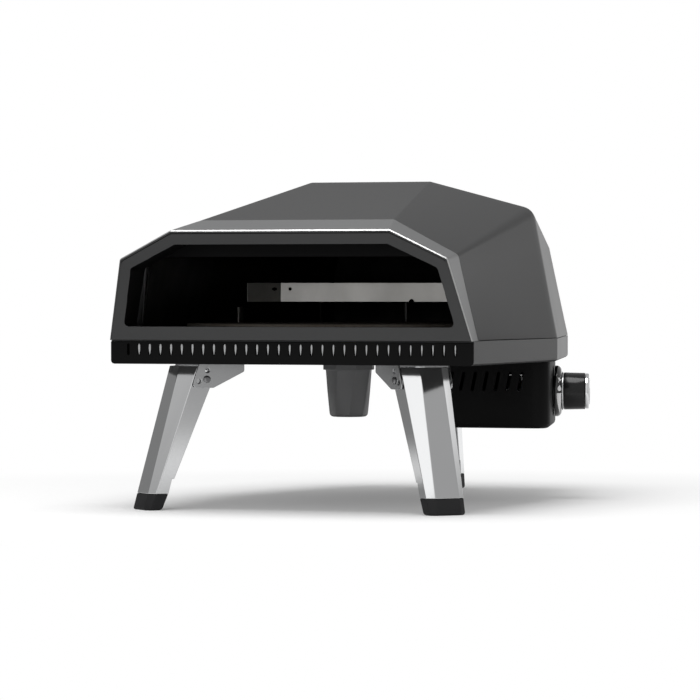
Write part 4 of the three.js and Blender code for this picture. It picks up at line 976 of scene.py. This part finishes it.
def ventHighlightLips():
    grower = Grower("vent_lips", {
        "Count": ("NodeSocketInt", 2),
        "Pitch": ("NodeSocketFloat", 0.01),
        "First": ("NodeSocketVector", (0.0, 0.0, 0.0)),
        "Height": ("NodeSocketFloat", 0.01),
        "Wide": ("NodeSocketFloat", 0.003),
        "Narrow": ("NodeSocketFloat", 0.001),
        "Depth": ("NodeSocketFloat", 0.001),
        "Taper": ("NodeSocketFloat", 1.0),
    })
    titles = ("First", "Count", "Pitch", "Height", "Wide", "Narrow", "Depth", "Taper")
    first, count, pitch, height, wide, narrow, depth, taper = (grower.given(title) for title in titles)
    step = first.make("ShaderNodeCombineXYZ", {}, {"X": pitch})
    line = {"Count": count, "Start Location": first, "Offset": step}
    places = first.make("GeometryNodeMeshLine", {"mode": "OFFSET"}, line)
    index = first.make("GeometryNodeInputIndex", {}, {})
    # each lip narrower than the one before, a painted highlight
    width = wide + (narrow - wide) * (index / (count - 1.0))
    disc = {"Vertices": lips["sides"], "Radius": 0.5, "Depth": 1.0}  # of unit size, scaled below
    lens = first.make("GeometryNodeMeshCylinder", {"fill_type": "NGON"}, disc)
    x, y, z = parts(first.make("GeometryNodeInputPosition", {}, {}))
    drop = x.make("ShaderNodeCombineXYZ", {}, {"X": x * (y * taper + lips["waist"]), "Y": y, "Z": z})
    lens = lens.make("GeometryNodeSetPosition", {}, {"Geometry": lens, "Position": drop})
    size = first.make("ShaderNodeCombineXYZ", {}, {"X": width, "Y": height, "Z": depth})
    upright = (math.pi / 2, 0.0, 0.0)
    spread = {"Points": places, "Instance": lens, "Rotation": upright, "Scale": size}
    copies = places.make("GeometryNodeInstanceOnPoints", {}, spread)
    values = {
        "Count": lips["count"],
        "Pitch": lips["pitch"] / perMetre,
        "First": put(lips["first"], lips["face"], (lips["top"] + lips["bottom"]) / 2),
        "Height": (lips["top"] - lips["bottom"]) / perMetre,
        "Wide": lips["wide"] / perMetre,
        "Narrow": lips["narrow"] / perMetre,
        "Depth": lips["depth"] / perMetre,
        "Taper": lips["taper"],
    }
    piece = grower.grown("vent_lips", copies, "lip_highlight_steel", bpy.data.meshes.new("lip_base"), values)
    return dressed(piece, "bare_steel", "oven")


screws = {  # all of them face the rear
    "radius": 3.4, "topShare": 0.84, "height": 1.7, "sides": 28, "crease": 30,
    "socket": 1.7, "socketDepth": 1.1, "socketSides": 6,
    "facing": (0, 1, 0),
    "seats": [
        *((x, 465.0, z) for x in (93.5, 194.5) for z in (-105.0, -36.0)),
        *((x, 630.0, z) for x, z in ((-150.0, 14.0), (150.0, 14.0), (-66.0, 124.0), (66.0, 124.0))),
    ],
}


def screwSeats():  # bare points that say which way each screw faces
    base = bpy.data.meshes.new("screw_seats")
    base.from_pydata([tuple(put(*place)) for place in screws["seats"]], [], [])
    mark = base.attributes.new("facing", "FLOAT_VECTOR", "POINT")
    mark.data.foreach_set("vector", [*screws["facing"]] * len(screws["seats"]))
    return base


def screwHeads():
    grower = Grower("screw_heads", {
        "Radius": ("NodeSocketFloat", 0.003),
        "Height": ("NodeSocketFloat", 0.002),
        "Socket": ("NodeSocketFloat", 0.002),
        "Socket depth": ("NodeSocketFloat", 0.001),
        "Sides": ("NodeSocketInt", 24),
    })
    titles = ("Geometry", "Radius", "Height", "Socket", "Socket depth", "Sides")
    seats, radius, height, socket, deep, sides = (grower.given(title) for title in titles)
    top = radius * screws["topShare"]
    cone = {"Vertices": sides, "Radius Top": top, "Radius Bottom": radius, "Depth": height}
    rim = seats.make("GeometryNodeMeshCone", {"fill_type": "NGON"}, cone, "Mesh")
    drill = {"Vertices": screws["socketSides"], "Radius": socket, "Depth": deep * 2.0}  # half stands proud
    bore = seats.make("GeometryNodeMeshCylinder", {"fill_type": "NGON"}, drill)
    lift = seats.make("ShaderNodeCombineXYZ", {}, {"Z": height})
    bore = bore.make("GeometryNodeTransform", {}, {"Geometry": bore, "Translation": lift})
    cut = {"Mesh 1": rim, "Mesh 2": bore}
    head = rim.make("GeometryNodeMeshBoolean", {"operation": "DIFFERENCE"}, cut)
    named = {"data_type": "FLOAT_VECTOR"}
    facing = seats.make("GeometryNodeInputNamedAttribute", named, {"Name": "facing"})
    turn = seats.make("FunctionNodeAlignRotationToVector", {"axis": "Z"}, {"Vector": facing})
    spread = {"Points": seats, "Instance": head, "Rotation": turn}
    copies = seats.make("GeometryNodeInstanceOnPoints", {}, spread)
    values = {
        "Radius": screws["radius"] / perMetre,
        "Height": screws["height"] / perMetre,
        "Socket": screws["socket"] / perMetre,
        "Socket depth": screws["socketDepth"] / perMetre,
        "Sides": screws["sides"],
    }
    piece = grower.grown("screw_heads", copies, "pin_steel", screwSeats(), values)
    return dressed(softened(outwardFaces(piece), screws["crease"]), "bare_steel", "oven")


ventHighlightLips()
screwHeads()
print("vent lips and screws made")

sky = {
    "level": 0.34, "right": 0.08, "camera": 1.0,
    "behind": 0.80, "behindSpan": (0.80, 0.96), "horizonSpan": (0.12, 0.32),
    "front": 0.34, "frontSpan": (0.4, 1.0),
    "above": 0.15, "aboveSpan": (0.2, 0.7),
}


def skyLevel(eastward, northward, upward):  # how bright the studio is in a direction, white behind
    backdrop = ramp(northward, *sky["behindSpan"]) * (1.0 - ramp(upward, *sky["horizonSpan"]))
    level = eastward * sky["right"] + sky["level"] + backdrop * sky["behind"]
    level = level + ramp(northward * -1.0, *sky["frontSpan"]) * sky["front"]
    return level + ramp(upward, *sky["aboveSpan"]) * sky["above"]


def seenLevel(level):  # plain white for the camera, the studio's level for everything else
    seenByCamera = level.make("ShaderNodeLightPath", {}, {}, "Is Camera Ray")
    return seenByCamera * (sky["camera"] - level) + level


white = (1, 1, 1, 1)
ground = {"half": 6.0, "clear": 0.50, "fade": 0.95, "lift": 0.17, "tone": (0.93, 0.93, 0.93, 1.0)}


def groundMaterial():  # matt under the oven, fading into the studio's white further out, with a share of white glow also under the oven: painted light that lightens its shadow
    material = bpy.data.materials.new("floor")
    material.use_nodes = True
    tree = material.node_tree
    tree.nodes.clear()
    at = Signal(tree).make("ShaderNodeTexCoord", {}, {}, "Object")
    away = at.make("ShaderNodeVectorMath", {"operation": "LENGTH"}, {0: at}, "Value")
    heading = at.make("ShaderNodeVectorMath", {"operation": "NORMALIZE"}, {0: at})
    matt = at.make("ShaderNodeBsdfDiffuse", {}, {"Color": ground["tone"]})
    bright = seenLevel(skyLevel(*parts(heading)))
    glow = at.make("ShaderNodeEmission", {}, {"Color": white, "Strength": bright})
    # the lift is painted light: a share of glow that lightens the oven's shadow
    share = ramp(away, ground["clear"], ground["fade"]) * (1.0 - ground["lift"]) + ground["lift"]
    seen = at.make("ShaderNodeMixShader", {}, {0: share, 1: matt, 2: glow})
    output = tree.nodes.new("ShaderNodeOutputMaterial")
    tree.links.new(seen.socket, output.inputs["Surface"])
    return material


def groundPiece():
    mesh = bpy.data.meshes.new("floor")
    half = ground["half"]
    corners = [(-half, -half, 0), (half, -half, 0), (half, half, 0), (-half, half, 0)]
    mesh.from_pydata(corners, [], [(0, 1, 2, 3)])
    mesh.materials.append(groundMaterial())
    piece = bpy.data.objects.new("floor", mesh)
    scene.collection.objects.link(piece)
    return piece


floor = groundPiece()


def makeSky():
    world = bpy.data.worlds.new("sky")
    scene.world = world
    world.use_nodes = True
    tree = world.node_tree
    tree.nodes.clear()
    compass = Signal(tree).make("ShaderNodeTexCoord", {}, {}, "Generated")
    strength = seenLevel(skyLevel(*parts(compass)))
    background = compass.make("ShaderNodeBackground", {}, {"Color": white, "Strength": strength})
    output = tree.nodes.new("ShaderNodeOutputWorld")
    tree.links.new(background.socket, output.inputs["Surface"])


lamps = {
    "overhead": {"place": (-0.1, -0.4, 2.2), "aim": (0, 0, 0.2), "size": (1.7, 1.3), "power": 37},
    "front": {"place": (-0.25, -2.8, 1.1), "aim": (0.1, -0.3, 0.1), "size": (0.8, 1.3), "power": 2.2},
}


def makeLamp(name, lamp):
    light = bpy.data.lights.new(name, "AREA")
    light.shape = "RECTANGLE"
    light.size, light.size_y = lamp["size"]
    light.energy = lamp["power"]
    holder = bpy.data.objects.new(name, light)
    holder.location = lamp["place"]
    toward = Vector(lamp["aim"]) - Vector(lamp["place"])
    holder.rotation_euler = toward.to_track_quat("-Z", "Y").to_euler()
    scene.collection.objects.link(holder)


makeSky()
for name, lamp in lamps.items():
    makeLamp(name, lamp)
print("stage lit:", len(lamps), "lamps")

scene.view_settings.view_transform = "Standard"
